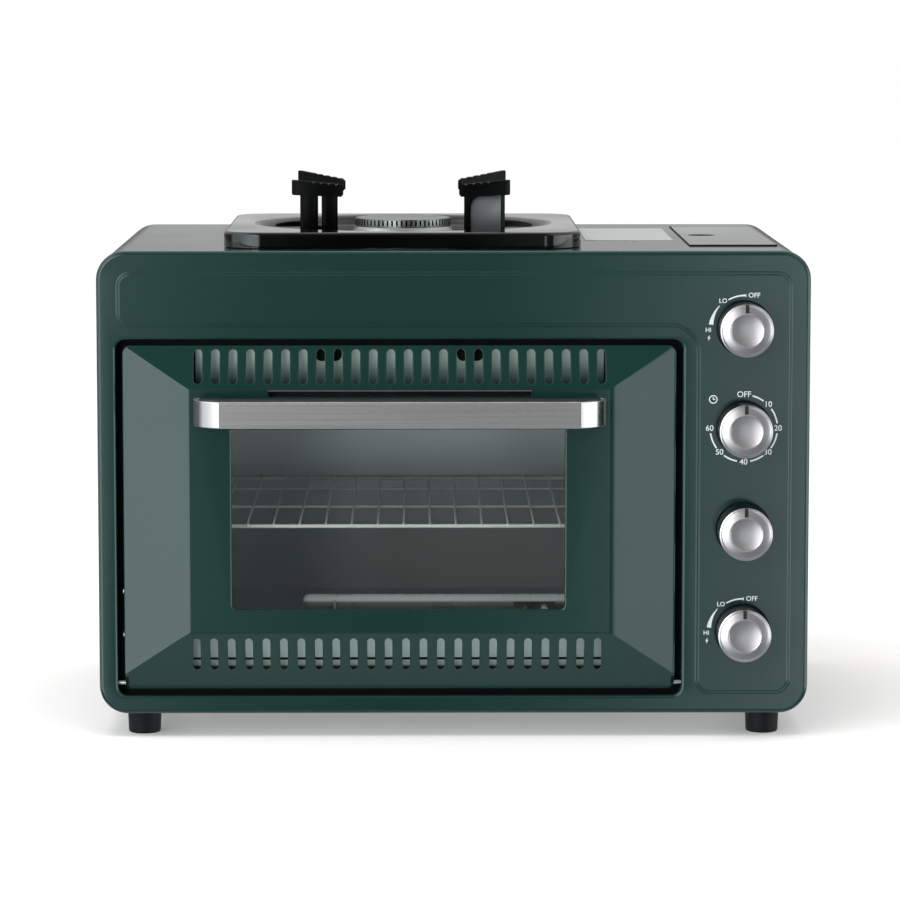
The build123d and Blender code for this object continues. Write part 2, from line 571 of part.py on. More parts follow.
TRAY = tray()
save("drip_tray", TRAY)


def arm(angle, solid_web):
    z0 = 347.0
    # head with a saw-toothed top, sloping down towards the middle
    top = []
    n = 5
    r0, r1 = 62.4, 110.6
    for k in range(n):
        ra = r1 - (r1 - r0) * k / n
        rb = r1 - (r1 - r0) * (k + 1) / n
        za = 390.6 - 4.9 * k / n
        top += [(ra, za), (rb + 1.2, za - 1.0), (rb + 0.6, za - 2.2)]
    head = [(108.0, 379.6), (110.6, 382.5)] + top + [(r0, 384.0), (r0, 378.2), (64.5, 376.6)]
    f = make_face(Polyline(*head, close=True))
    if solid_web:
        legs = make_face(Polyline((70.7, z0), (70.7, 380.0), (102.6, 381.5), (102.6, z0), close=True))
    else:
        a = make_face(Polyline((70.7, z0), (70.7, 380.0), (81.4, 380.6), (81.4, z0), close=True))
        b = make_face(Polyline((91.9, z0), (91.9, 380.6), (102.6, 381.5), (102.6, z0), close=True))
        c = make_face(Polyline((70.7, z0), (70.7, z0 + 3.0), (96.4, z0 + 3.0), (96.4, z0), close=True))
        legs = a + b + c
    prof = f + legs
    s = extrude(Plane.XZ * prof, amount=2.0, both=True)
    if solid_web:
        # folded rim round the web
        s = s - (Pos(86.6, 2.2, 362.0) * Box(21.8, 2.0, 22.0)) - (Pos(86.6, -2.2, 362.0) * Box(21.8, 2.0, 22.0))
    s = Pos(BX, F + BD, 0) * Rot(0, 0, angle) * s - TRAY
    return s.solids().sort_by(SortBy.VOLUME)[-1]


save_group("pan_supports", [arm(135, False), arm(225, False), arm(45, True), arm(-45, True)])
print("done")
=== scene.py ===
import bpy, bmesh, math, random
from mathutils import Vector, Matrix
from mathutils.geometry import tessellate_polygon


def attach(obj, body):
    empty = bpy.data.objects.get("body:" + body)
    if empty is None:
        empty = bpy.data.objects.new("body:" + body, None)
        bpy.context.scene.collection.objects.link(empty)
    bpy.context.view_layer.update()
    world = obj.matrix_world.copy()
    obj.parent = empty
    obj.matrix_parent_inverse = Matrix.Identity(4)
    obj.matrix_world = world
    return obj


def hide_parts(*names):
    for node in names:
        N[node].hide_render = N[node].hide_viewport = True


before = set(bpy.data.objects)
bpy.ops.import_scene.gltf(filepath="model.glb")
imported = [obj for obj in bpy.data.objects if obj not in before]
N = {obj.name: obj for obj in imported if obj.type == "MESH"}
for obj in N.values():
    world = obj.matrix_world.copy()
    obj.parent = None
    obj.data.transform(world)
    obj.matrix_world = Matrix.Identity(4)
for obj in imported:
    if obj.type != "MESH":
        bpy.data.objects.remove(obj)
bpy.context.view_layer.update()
scene = bpy.context.scene
S = 0.001
F = -149.0            # fascia front plane, mm
BX, BD = -36.0, 157.0  # burner centre
KX = 203.5
KZ = {"stove_knob": 290.4, "timer_knob": 219.9, "safety_button": 148.6, "oven_knob": 76.2}


def P(x, d, z):
    """X, depth behind the fascia plane and Z in millimetres, to metres in the frame"""
    return Vector((x * S, (F + d) * S, z * S))


# =====================================================================================
# materials
# =====================================================================================
class Mat:
    """small helper round a node tree with one Principled shader"""

    def __init__(self, name, **inputs):
        self.m = bpy.data.materials.new(name)
        self.m.use_nodes = True
        self.t = self.m.node_tree
        self.n = self.t.nodes
        self.b = self.n["Principled BSDF"]
        self.out = self.n["Material Output"]
        for k, v in inputs.items():
            self.set(k.replace("_", " "), v)
        self.coord = self.n.new("ShaderNodeTexCoord")

    def set(self, k, v):
        s = self.b.inputs[k]
        s.default_value = (*v, 1.0) if isinstance(v, tuple) and len(v) == 3 and len(s.default_value) == 4 else v

    def node(self, kind, **kw):
        n = self.n.new(kind)
        for k, v in kw.items():
            if hasattr(n, k):
                setattr(n, k, v)
            else:
                n.inputs[k].default_value = v
        return n

    def link(self, a, b):
        self.t.links.new(a, b)

    def mapping(self, scale=(1, 1, 1), rot=(0, 0, 0), loc=(0, 0, 0)):
        mp = self.n.new("ShaderNodeMapping")
        mp.inputs["Scale"].default_value = scale
        mp.inputs["Rotation"].default_value = rot
        mp.inputs["Location"].default_value = loc
        self.link(self.coord.outputs["Object"], mp.inputs["Vector"])
        return mp.outputs["Vector"]

    def noise(self, scale, detail=3.0, rough=0.5, vec=None, dist=0.0):
        n = self.n.new("ShaderNodeTexNoise")
        n.inputs["Scale"].default_value = scale
        n.inputs["Detail"].default_value = detail
        n.inputs["Roughness"].default_value = rough
        n.inputs["Distortion"].default_value = dist
        self.link(vec if vec is not None else self.coord.outputs["Object"], n.inputs["Vector"])
        return n.outputs["Fac"]

    def ramp(self, fac, stops):
        r = self.n.new("ShaderNodeValToRGB")
        while len(r.color_ramp.elements) < len(stops):
            r.color_ramp.elements.new(0.5)
        for e, (p, c) in zip(r.color_ramp.elements, stops):
            e.position = p
            e.color = (*c, 1.0) if len(c) == 3 else c
        self.link(fac, r.inputs["Fac"])
        return r.outputs["Color"]

    def maprange(self, fac, a, b, lo=0.0, hi=1.0):
        r = self.n.new("ShaderNodeMapRange")
        r.inputs["From Min"].default_value = lo
        r.inputs["From Max"].default_value = hi
        r.inputs["To Min"].default_value = a
        r.inputs["To Max"].default_value = b
        self.link(fac, r.inputs["Value"])
        return r.outputs["Result"]

    def math(self, op, a, b=None):
        n = self.n.new("ShaderNodeMath")
        n.operation = op
        for i, v in enumerate((a, b)):
            if v is None:
                continue
            if isinstance(v, (int, float)):
                n.inputs[i].default_value = v
            else:
                self.link(v, n.inputs[i])
        return n.outputs[0]

    def bump(self, height, strength=0.3, distance=0.0005, prev=None):
        b = self.n.new("ShaderNodeBump")
        b.inputs["Strength"].default_value = strength
        b.inputs["Distance"].default_value = distance
        self.link(height, b.inputs["Height"])
        if prev is not None:
            self.link(prev, b.inputs["Normal"])
        return b.outputs["Normal"]

    def col(self, c):
        self.link(c, self.b.inputs["Base Color"])

    def rough(self, r):
        self.link(r, self.b.inputs["Roughness"])

    def normal(self, nrm):
        self.link(nrm, self.b.inputs["Normal"])


def green_enamel(name, lift=1.0, rough=0.12):
    """gloss stoved enamel: a little orange peel, no visible grain"""
    m = Mat(name, Metallic=0.0, Roughness=rough)
    m.set("Specular IOR Level", 0.5)
    big = m.noise(5.0, 2.0, 0.5)
    c0 = tuple(lift * v for v in (0.0054, 0.0268, 0.0232))
    c1 = tuple(lift * v for v in (0.0060, 0.0286, 0.0246))
    m.col(m.ramp(big, [(0.25, c0), (0.75, c1)]))
    m.rough(m.maprange(m.noise(7.0, 2.0, 0.5), rough - 0.012, rough + 0.012, 0.3, 0.7))
    peel = m.noise(210.0, 1.0, 0.4)
    m.normal(m.bump(peel, 0.018, 0.0003))
    return m.m


def black_enamel(name, rough=0.12, base=0.0022, spec=0.5):
    m = Mat(name, Metallic=0.0, Roughness=rough)
    m.set("Specular IOR Level", spec)
    m.col(m.ramp(m.noise(14.0, 3.0, 0.5), [(0.3, (base * 0.8, base * 0.8, base * 0.85)), (0.7, (base * 1.2, base * 1.2, base * 1.3))]))
    m.rough(m.maprange(m.noise(9.0, 2.0, 0.6), rough - 0.02, rough + 0.03, 0.3, 0.75))
    m.normal(m.bump(m.noise(190.0, 1.0, 0.5), 0.02, 0.0003))
    return m.m


def brushed(name, color, rough, axis="x", scale=1.0, aniso=0.0, bump=0.03, var=0.06):
    m = Mat(name, Metallic=1.0, Roughness=rough)
    sc = {"x": (5, 1500, 1500), "y": (1500, 5, 1500), "z": (1500, 1500, 5)}[axis]
    vec = m.mapping(tuple(s * scale for s in sc))
    streak = m.noise(1.0, 3.0, 0.6, vec)
    lo = tuple(c * (1 - var) for c in color)
    hi = tuple(min(1.0, c * (1 + var)) for c in color)
    m.col(m.ramp(streak, [(0.3, lo), (0.7, hi)]))
    m.rough(m.maprange(streak, rough - 0.03, rough + 0.04, 0.3, 0.7))
    m.normal(m.bump(streak, bump, 0.0001))
    if aniso:
        m.set("Anisotropic", aniso)
    return m.m


def turned(name, color, rough, centre, axis="y"):
    """metal turned on a lathe: fine rings round the axis"""
    m = Mat(name, Metallic=1.0, Roughness=rough)
    sub = m.node("ShaderNodeVectorMath", operation="SUBTRACT")
    sub.inputs[1].default_value = centre
    m.link(m.coord.outputs["Object"], sub.inputs[0])
    flat = m.node("ShaderNodeVectorMath", operation="MULTIPLY")
    flat.inputs[1].default_value = {"y": (1, 0, 1), "z": (1, 1, 0)}[axis]
    m.link(sub.outputs[0], flat.inputs[0])
    ln = m.node("ShaderNodeVectorMath", operation="LENGTH")
    m.link(flat.outputs[0], ln.inputs[0])
    r = ln.outputs["Value"]
    comb = m.node("ShaderNodeCombineXYZ")
    m.link(m.math("MULTIPLY", r, 5200.0), comb.inputs[0])
    ring = m.noise(1.0, 3.0, 0.7, comb.outputs[0])
    m.col(m.ramp(ring, [(0.3, tuple(c * 0.88 for c in color)), (0.7, color)]))
    m.rough(m.maprange(ring, rough - 0.05, rough + 0.07, 0.3, 0.7))
    m.normal(m.bump(ring, 0.06, 0.00006))
    return m.m


def plain(name, color, rough, metallic=0.0, var=0.12, nscale=40.0, bump=0.05, bscale=400.0, bdist=0.0002, **kw):
    m = Mat(name, Metallic=metallic, Roughness=rough)
    for k, v in kw.items():
        m.set(k.replace("_", " "), v)
    m.col(m.ramp(m.noise(nscale, 4.0, 0.6), [(0.3, tuple(c * (1 - var) for c in color)), (0.7, tuple(min(1, c * (1 + var)) for c in color))]))
    m.rough(m.maprange(m.noise(nscale * 2.3, 4.0, 0.6), max(0.02, rough - 0.06), min(1, rough + 0.08), 0.3, 0.7))
    m.normal(m.bump(m.noise(bscale, 3.0, 0.6), bump, bdist))
    return m.m


GREEN = green_enamel("green_enamel_gloss")
GREEN_LID = green_enamel("green_enamel_lid", 1.0, 0.085)
BLACK = black_enamel("black_enamel_gloss", 0.07, 0.0013, 0.6)
BLACK_SUP = black_enamel("support_enamel", 0.2, 0.001, 0.05)
BLACK_PLASTIC = plain("black_grip", (0.008, 0.008, 0.0085), 0.42, bump=0.12, bscale=1500, bdist=0.0001)
RUBBER = plain("black_rubber_matt", (0.004, 0.0037, 0.0046), 0.55, bump=0.2, bscale=900, bdist=0.0003, Specular_IOR_Level=0.2)
STEEL = brushed("stainless_brushed", (0.348, 0.318, 0.313), 0.25, "x", bump=0.005, var=0.012)
# brighter than the strap's front only to reach the highlight on the bends
STEEL_BEND_HIGHLIGHT = brushed("stainless_bend_painted_highlight", (0.47, 0.435, 0.43), 0.22, "x", bump=0.005, var=0.012)
LIP_PAINTED_HIGHLIGHT = plain("slit_lip_painted_highlight", (0.12, 0.113, 0.13), 0.4, 0.3, var=0.05)
# painted highlight: the strap's top and bottom edges in a near-white copy of its steel
STEEL_EDGE_HIGHLIGHT = plain("stainless_edge_painted_highlight", (0.95, 0.94, 0.93), 0.34, 1.0, var=0.02, bump=0.0)


def burner_tube(name):
    """burner tube: painted highlight along the top and painted shade below, set by height"""
    m = Mat(name, Metallic=0.0, Roughness=0.3)
    sep = m.node("ShaderNodeSeparateXYZ")
    m.link(m.coord.outputs["Object"], sep.inputs[0])
    z = m.maprange(sep.outputs["Z"], 0.0, 1.0, 0.07, 0.10)
    # the near-white band above is a painted highlight, the dark stops below are painted shade
    m.col(m.ramp(z, [(0.0, (0.10, 0.11, 0.11)), (0.30, (0.14, 0.15, 0.15)), (0.48, (0.20, 0.22, 0.215)), (0.535, (0.95, 1.0, 0.98)), (1.0, (0.95, 1.0, 0.98))]))
    m.rough(m.maprange(m.noise(30.0, 3.0, 0.5), 0.26, 0.34, 0.3, 0.7))
    m.normal(m.bump(m.noise(300.0, 2.0, 0.5), 0.01, 0.0001))
    return m.m


STEEL_TUBE_PAINTED_LIGHT = burner_tube("stainless_tube_painted_light")
HEAT_DARK = plain("heat_darkened_steel", (0.05, 0.055, 0.053), 0.5, 0.5, var=0.15, nscale=60, bump=0.05)


def cavity_sheet(name):
    """aluminised steel; the ramps by height and side are painted light and shade, lighter towards the top and on the
    left, not a known finish
    """
    m = Mat(name, Metallic=0.72, Roughness=0.38)
    sep = m.node("ShaderNodeSeparateXYZ")
    m.link(m.coord.outputs["Object"], sep.inputs[0])
    z = m.maprange(sep.outputs["Z"], 0.0, 1.0, 0.0, 0.3)
    right = m.ramp(z, [(0.0, (0.42, 0.425, 0.43)), (0.30, (0.42, 0.425, 0.43)), (0.46, (0.34, 0.35, 0.355)), (0.56, (0.58, 0.63, 0.615)), (0.66, (0.88, 0.94, 0.92))])
    left = m.ramp(z, [(0.0, (0.77, 0.77, 0.79)), (0.30, (0.77, 0.77, 0.79)), (0.46, (0.68, 0.69, 0.71)), (0.56, (0.88, 0.91, 0.91)), (0.66, (0.97, 0.99, 0.98))])
    mx = m.node("ShaderNodeMix", data_type="RGBA")
    m.link(m.maprange(sep.outputs["X"], 0.0, 1.0, -0.20, -0.04), mx.inputs[0])
    m.link(left, mx.inputs[6])
    m.link(right, mx.inputs[7])
    m.col(mx.outputs[2])
    streak = m.noise(1.0, 3.0, 0.6, m.mapping((0.6, 180, 180)))
    m.rough(m.maprange(streak, 0.35, 0.42, 0.3, 0.7))
    m.normal(m.bump(streak, 0.05, 0.0001))
    return m.m


CAVITY_PAINTED_LIGHT = cavity_sheet("aluminised_steel_painted_light")
GALV = plain("galvanised_sheet", (0.46, 0.47, 0.48), 0.42, 1.0, var=0.18, nscale=55, bump=0.1, bscale=150)
ZINC = plain("zinc_plated", (0.55, 0.55, 0.55), 0.3, 1.0, var=0.1, nscale=120, bump=0.08)
CHROME = plain("chromed_wire", (0.93, 0.96, 0.95), 0.36, 0.12, var=0.02, nscale=20, bump=0.0)
BRASS = plain("machined_brass", (0.55, 0.38, 0.16), 0.3, 1.0, var=0.12, nscale=90)
CAST_AL = plain("cast_aluminium", (0.5, 0.5, 0.49), 0.46, 1.0, var=0.14, nscale=160, bump=0.3, bscale=900, bdist=0.0003)
CERAMIC = plain("glazed_ceramic", (0.78, 0.77, 0.73), 0.22, var=0.05)
LABEL = plain("blank_label_film", (0.40, 0.41, 0.385), 0.34, var=0.012, nscale=9, bump=0.0)
PRINT = plain("screen_print", (0.72, 0.76, 0.74), 0.5, var=0.03, bump=0.1, bscale=2500, bdist=0.00005)
BEZEL = plain("bezel_black", (0.003, 0.0034, 0.0034), 0.4, var=0.1, bump=0.03)
BEZEL.node_tree.nodes["Principled BSDF"].inputs["Specular IOR Level"].default_value = 0.2
# matt black for the frame, and also used as painted shade inside the burner ports and behind the door slots
MATT_BLACK = plain("matt_black_frame_and_painted_shade", (0.0016, 0.0017, 0.0018), 0.55, var=0.15, bump=0.1, bscale=900)
MATT_BLACK.node_tree.nodes["Principled BSDF"].inputs["Specular IOR Level"].default_value = 0.12
def inner_sheet(name):
    """inner sheet behind the slots; the ramp by height is painted light and shade, bright behind the slot rows and dark
    elsewhere, not a known finish
    """
    m = Mat(name, Metallic=0.25, Roughness=0.36)
    sep = m.node("ShaderNodeSeparateXYZ")
    m.link(m.coord.outputs["Object"], sep.inputs[0])
    z = m.maprange(sep.outputs["Z"], 0.0, 1.0, 0.030, 0.290)
    st = [(0.0445, (0.004, 0.008, 0.008)), (0.0492, (0.010, 0.018, 0.017)), (0.0498, (0.50, 0.62, 0.57)), (0.060, (0.56, 0.70, 0.65)),
          (0.0775, (0.62, 0.78, 0.73)), (0.0790, (0.01, 0.02, 0.02)), (0.2480, (0.002, 0.002, 0.003)), (0.2512, (0.034, 0.072, 0.066)), (0.2530, (0.055, 0.105, 0.096)),
          (0.2590, (0.15, 0.235, 0.215)), (0.2660, (0.38, 0.50, 0.47)), (0.2740, (0.58, 0.72, 0.68)), (0.2800, (0.74, 0.88, 0.84))]
    m.col(m.ramp(z, [((p - 0.030) / 0.260, c) for p, c in st]))
    m.rough(m.maprange(m.noise(30.0, 3.0, 0.5), 0.33, 0.4, 0.3, 0.7))
    m.normal(m.bump(m.noise(300.0, 2.0, 0.5), 0.03, 0.0002))
    return m.m


INNER_PAINTED_LIGHT = inner_sheet("inner_sheet_painted_light")
CROWN = turned("crown_metal", (0.40, 0.43, 0.41), 0.26, (BX * S, (F + BD) * S, 0), "z")
CAPM = turned("cap_metal", (0.33, 0.325, 0.30), 0.24, (BX * S, (F + BD) * S, 0), "z")
KNOB = {k: turned("spun_" + k, (0.57, 0.53, 0.54), 0.29, (KX * S, 0, z * S), "y") for k, z in KZ.items()}
KNOB_SIDE_SHADE = plain("knob_side_painted_shade", (0.05, 0.052, 0.054), 0.3, 1.0, var=0.06, bump=0.02)
DARKMARK = plain("pointer_dark", (0.008, 0.007, 0.008), 0.5, var=0.1)


def glass_mat(name, tint, alpha):
    m = Mat(name, Metallic=0.0, Roughness=0.02)
    m.set("Base Color", tint)
    m.set("Alpha", alpha)
    m.set("Specular IOR Level", 0.5)
    m.rough(m.maprange(m.noise(30.0, 3.0, 0.5), 0.015, 0.05, 0.35, 0.7))
    return m.m


GLASS = glass_mat("door_glass_clear", (0.03, 0.04, 0.038), 0.10)
GLASS_IN = glass_mat("door_glass_inner_clear", (0.03, 0.035, 0.033), 0.06)

# =====================================================================================
# mesh helpers
# =====================================================================================


def obj_from(name, verts, faces, mat, body, replaces=(), sharp=40.0, weighted=True):
    me = bpy.data.meshes.new(name)
    me.from_pydata([tuple(v) for v in verts], [], faces)
    me.validate()
    me.update()
    o = bpy.data.objects.new(name, me)
    scene.collection.objects.link(o)
    finish_obj(o, mat, body, replaces, sharp, weighted)
    return o


def finish_obj(o, mat, body, replaces=(), sharp=40.0, weighted=True):
    me = o.data
    for mm in (mat if isinstance(mat, (list, tuple)) else [mat]):
        if mm is not None and mm.name not in [x.name for x in me.materials if x]:
            me.materials.append(mm)
    me.polygons.foreach_set("use_smooth", [True] * len(me.polygons))
    me.set_sharp_from_angle(angle=math.radians(sharp))
    if weighted:
        w = o.modifiers.new("wn", "WEIGHTED_NORMAL")
        w.mode = "FACE_AREA"
        w.keep_sharp = True
        w.weight = 80
    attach(o, body)
    if replaces:
        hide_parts(*replaces)
    return o


def lathe(profile, segs, to_world):
    """profile: (r, h) points; returns verts and faces. r = 0 closes an end."""
    verts, faces, rings = [], [], []
    for r, h in profile:
        if r < 1e-6:
            rings.append([len(verts)])
            verts.append(to_world(0, 0, h))
        else:
            ids = []
            for k in range(segs):
                a = 2 * math.pi * k / segs
                ids.append(len(verts))
                verts.append(to_world(r * math.cos(a), r * math.sin(a), h))
            rings.append(ids)
    for a, b in zip(rings, rings[1:]):
        if len(a) == 1 and len(b) == 1:
            continue
        for k in range(segs):
            k2 = (k + 1) % segs
            if len(a) == 1:
                faces.append((a[0], b[k], b[k2]))
            elif len(b) == 1:
                faces.append((a[k], b[0], a[k2]))
            else:
                faces.append((a[k], b[k], b[k2], a[k2]))
    return verts, faces


def fix_normals(o):
    bm = bmesh.new()
    bm.from_mesh(o.data)
    bmesh.ops.remove_doubles(bm, verts=bm.verts, dist=1e-7)
    bmesh.ops.recalc_face_normals(bm, faces=bm.faces)
    bm.to_mesh(o.data)
    bm.free()
    o.data.update()


def rr_pts(x0, x1, z0, z1, r, n=4, top=None, bot=None):
    """rounded rectangle, anticlockwise from the bottom edge's left end; extra fractions along top and bottom edges"""
    pts = []
    top = top or [0.0, 1.0]
    bot = bot or [0.0, 1.0]
    xa, xb = x0 + r, x1 - r
    for t in bot:
        pts.append((xa + (xb - xa) * t, z0))
    for k in range(1, n):
        a = -math.pi / 2 + math.pi / 2 * k / n
        pts.append((x1 - r + r * math.cos(a), z0 + r + r * math.sin(a)))
    pts += [(x1, z0 + r), (x1, z1 - r)]
    for k in range(1, n):
        a = math.pi / 2 * k / n
        pts.append((x1 - r + r * math.cos(a), z1 - r + r * math.sin(a)))
    for t in reversed(top):
        pts.append((xa + (xb - xa) * t, z1))
    for k in range(1, n):
        a = math.pi / 2 + math.pi / 2 * k / n
        pts.append((x0 + r + r * math.cos(a), z1 - r + r * math.sin(a)))
    pts += [(x0, z1 - r), (x0, z0 + r)]
    for k in range(1, n):
        a = math.pi + math.pi / 2 * k / n
        pts.append((x0 + r + r * math.cos(a), z0 + r + r * math.sin(a)))
    return pts


class Build:
    """collects vertices and faces in (x, d, z) millimetres"""

    def __init__(self):
        self.v, self.f = [], []

    def loop(self, pts, d=None):
        ids = []
        for p in pts:
            ids.append(len(self.v))
            self.v.append(P(p[0], d, p[1]) if d is not None else P(*p))
        return ids

    def bridge(self, a, b, skip=(), closed=True):
        n = len(a)
        for k in range(n if closed else n - 1):
            if k in skip:
                continue
            k2 = (k + 1) % n
            self.f.append((a[k], a[k2], b[k2], b[k]))

    def cap(self, ids):
        self.f.append(tuple(ids))

    def fill(self, loops):
        """planar polygon with holes; loops are lists of vertex ids"""
        pts = [[self.v[i] for i in lp] for lp in loops]
        flat = [i for lp in loops for i in lp]
        for t in tessellate_polygon(pts):
            self.f.append(tuple(flat[i] for i in t))


def solidify(o, thick, offset=-1.0):
    s = o.modifiers.new("sheet", "SOLIDIFY")
    s.thickness = thick * S
    s.offset = offset
    s.use_even_offset = False
    return s


def apply_mods(o):
    dg = bpy.context.evaluated_depsgraph_get()
    me = bpy.data.meshes.new_from_object(o.evaluated_get(dg))
    o.modifiers.clear()
    o.data = me


def bezier3(a, b, c, u):
    return [(1 - u) ** 2 * x + 2 * u * (1 - u) * y + u * u * z for x, y, z in zip(a, b, c)]


# =====================================================================================
# front fascia: drawn sheet with rolled opening and a raised panel
# =====================================================================================
def rounded_poly(pts, radii, n=6):
    """closed polygon (anticlockwise) with its corners rounded"""
    out = []
    m = len(pts)
    for i in range(m):
        p, q, r = Vector(pts[i - 1]), Vector(pts[i]), Vector(pts[(i + 1) % m])
        a, b = (p - q).normalized(), (r - q).normalized()
        ang = a.angle(b)
        t = radii[i] / math.tan(ang / 2)
        c = q + (a + b).normalized() * (radii[i] / math.sin(ang / 2))
        s, e = q + a * t, q + b * t
        v0, v1 = s - c, e - c
        th = v0.angle(v1)
        sign = 1 if v0.x * v1.y - v0.y * v1.x > 0 else -1
        for k in range(n + 1):
            w = sign * th * k / n
            out.append((c.x + v0.x * math.cos(w) - v0.y * math.sin(w), c.y + v0.x * math.sin(w) + v0.y * math.cos(w)))
    return out


def fascia():
    b = Build()
    W, z0, z1, R = 250.0, 17.2, 344.3, 20.0

    def outer(o, d):
        return b.loop(rr_pts(-W + o, W - o, z0 + o, z1 - o, R - o, 10), d)

    loops = [outer(1.0, 8.0), outer(0.0, 8.0)]
    for k in range(0, 7):
        a = math.pi / 2 * k / 6
        loops.append(outer(3.0 * (1 - math.cos(a)), 3.0 * (1 - math.sin(a))))
    for a, c in zip(loops, loops[1:]):
        b.bridge(a, c)
    edge = loops[-1]
    # opening with rolled edge
    OX0, OX1, OZ0, OZ1, OR = -236.8, 160.6, 30.0, 282.3, 7.0

    def opening(o, d):
        return b.loop(rr_pts(OX0 - o, OX1 + o, OZ0 - o, OZ1 + o, OR + o, 8), d)

    ol = []
    for k in range(0, 7):
        a = math.pi / 2 * k / 6
        ol.append(opening(2.2 * (1 - math.sin(a)), 2.2 * (1 - math.cos(a))))
    ol.append(opening(0.0, 5.0))
    ol.append(opening(0.9, 5.0))
    for a, c in zip(ol, ol[1:]):
        b.bridge(a, c)

    # raised panel
    def ell(o, d):
        pts = [(-235.6 + o, 291.8 + o), (170.9 + o, 291.8 + o), (170.9 + o, 31.7 + o), (236.8 - o, 31.7 + o),
               (236.8 - o, 329.5 - o), (-235.6 + o, 329.5 - o)]
        rad = [9.5 - o, 19.0 + o, 9.5 - o, 10.0 - o, 10.0 - o, 9.5 - o]
        return b.loop(rounded_poly(pts, rad, 8), d)

    # two small steps, each of two arcs, with a narrow flat between them
    prof = []
    for base, top in ((-0.75, 0.0), (1.25, -0.5)):
        for k in range(6):
            t = math.radians(52) * k / 5
            prof.append((base + 0.65 * math.sin(t), top - 0.65 * (1 - math.cos(t))))
        for k in range(5, -1, -1):
            t = math.radians(52) * k / 5
            prof.append((base + 1.0245 - 0.65 * math.sin(t), top - 0.5 + 0.65 * (1 - math.cos(t))))
    el = [ell(o, d) for o, d in prof]
    for a, c in zip(el, el[1:]):
        b.bridge(a, c)
    b.fill([edge, ol[0], el[0]])
    holes = []
    for z in KZ.values():
        ring = [(KX + 6 * math.cos(2 * math.pi * k / 32), z + 6 * math.sin(2 * math.pi * k / 32)) for k in range(32)]
        holes.append(b.loop(ring, -1.0))
        back = b.loop(ring, 1.0)
        b.bridge(holes[-1], back)
    b.fill([el[-1]] + holes)
    o = obj_from("fascia_sheet", b.v, b.f, GREEN, "housing", ("front_fascia",), 60)
    fix_normals(o)
    finish_again(o, 60)
    return o


def finish_again(o, sharp):
    me = o.data
    me.polygons.foreach_set("use_smooth", [True] * len(me.polygons))
    me.set_sharp_from_angle(angle=math.radians(sharp))


fascia()


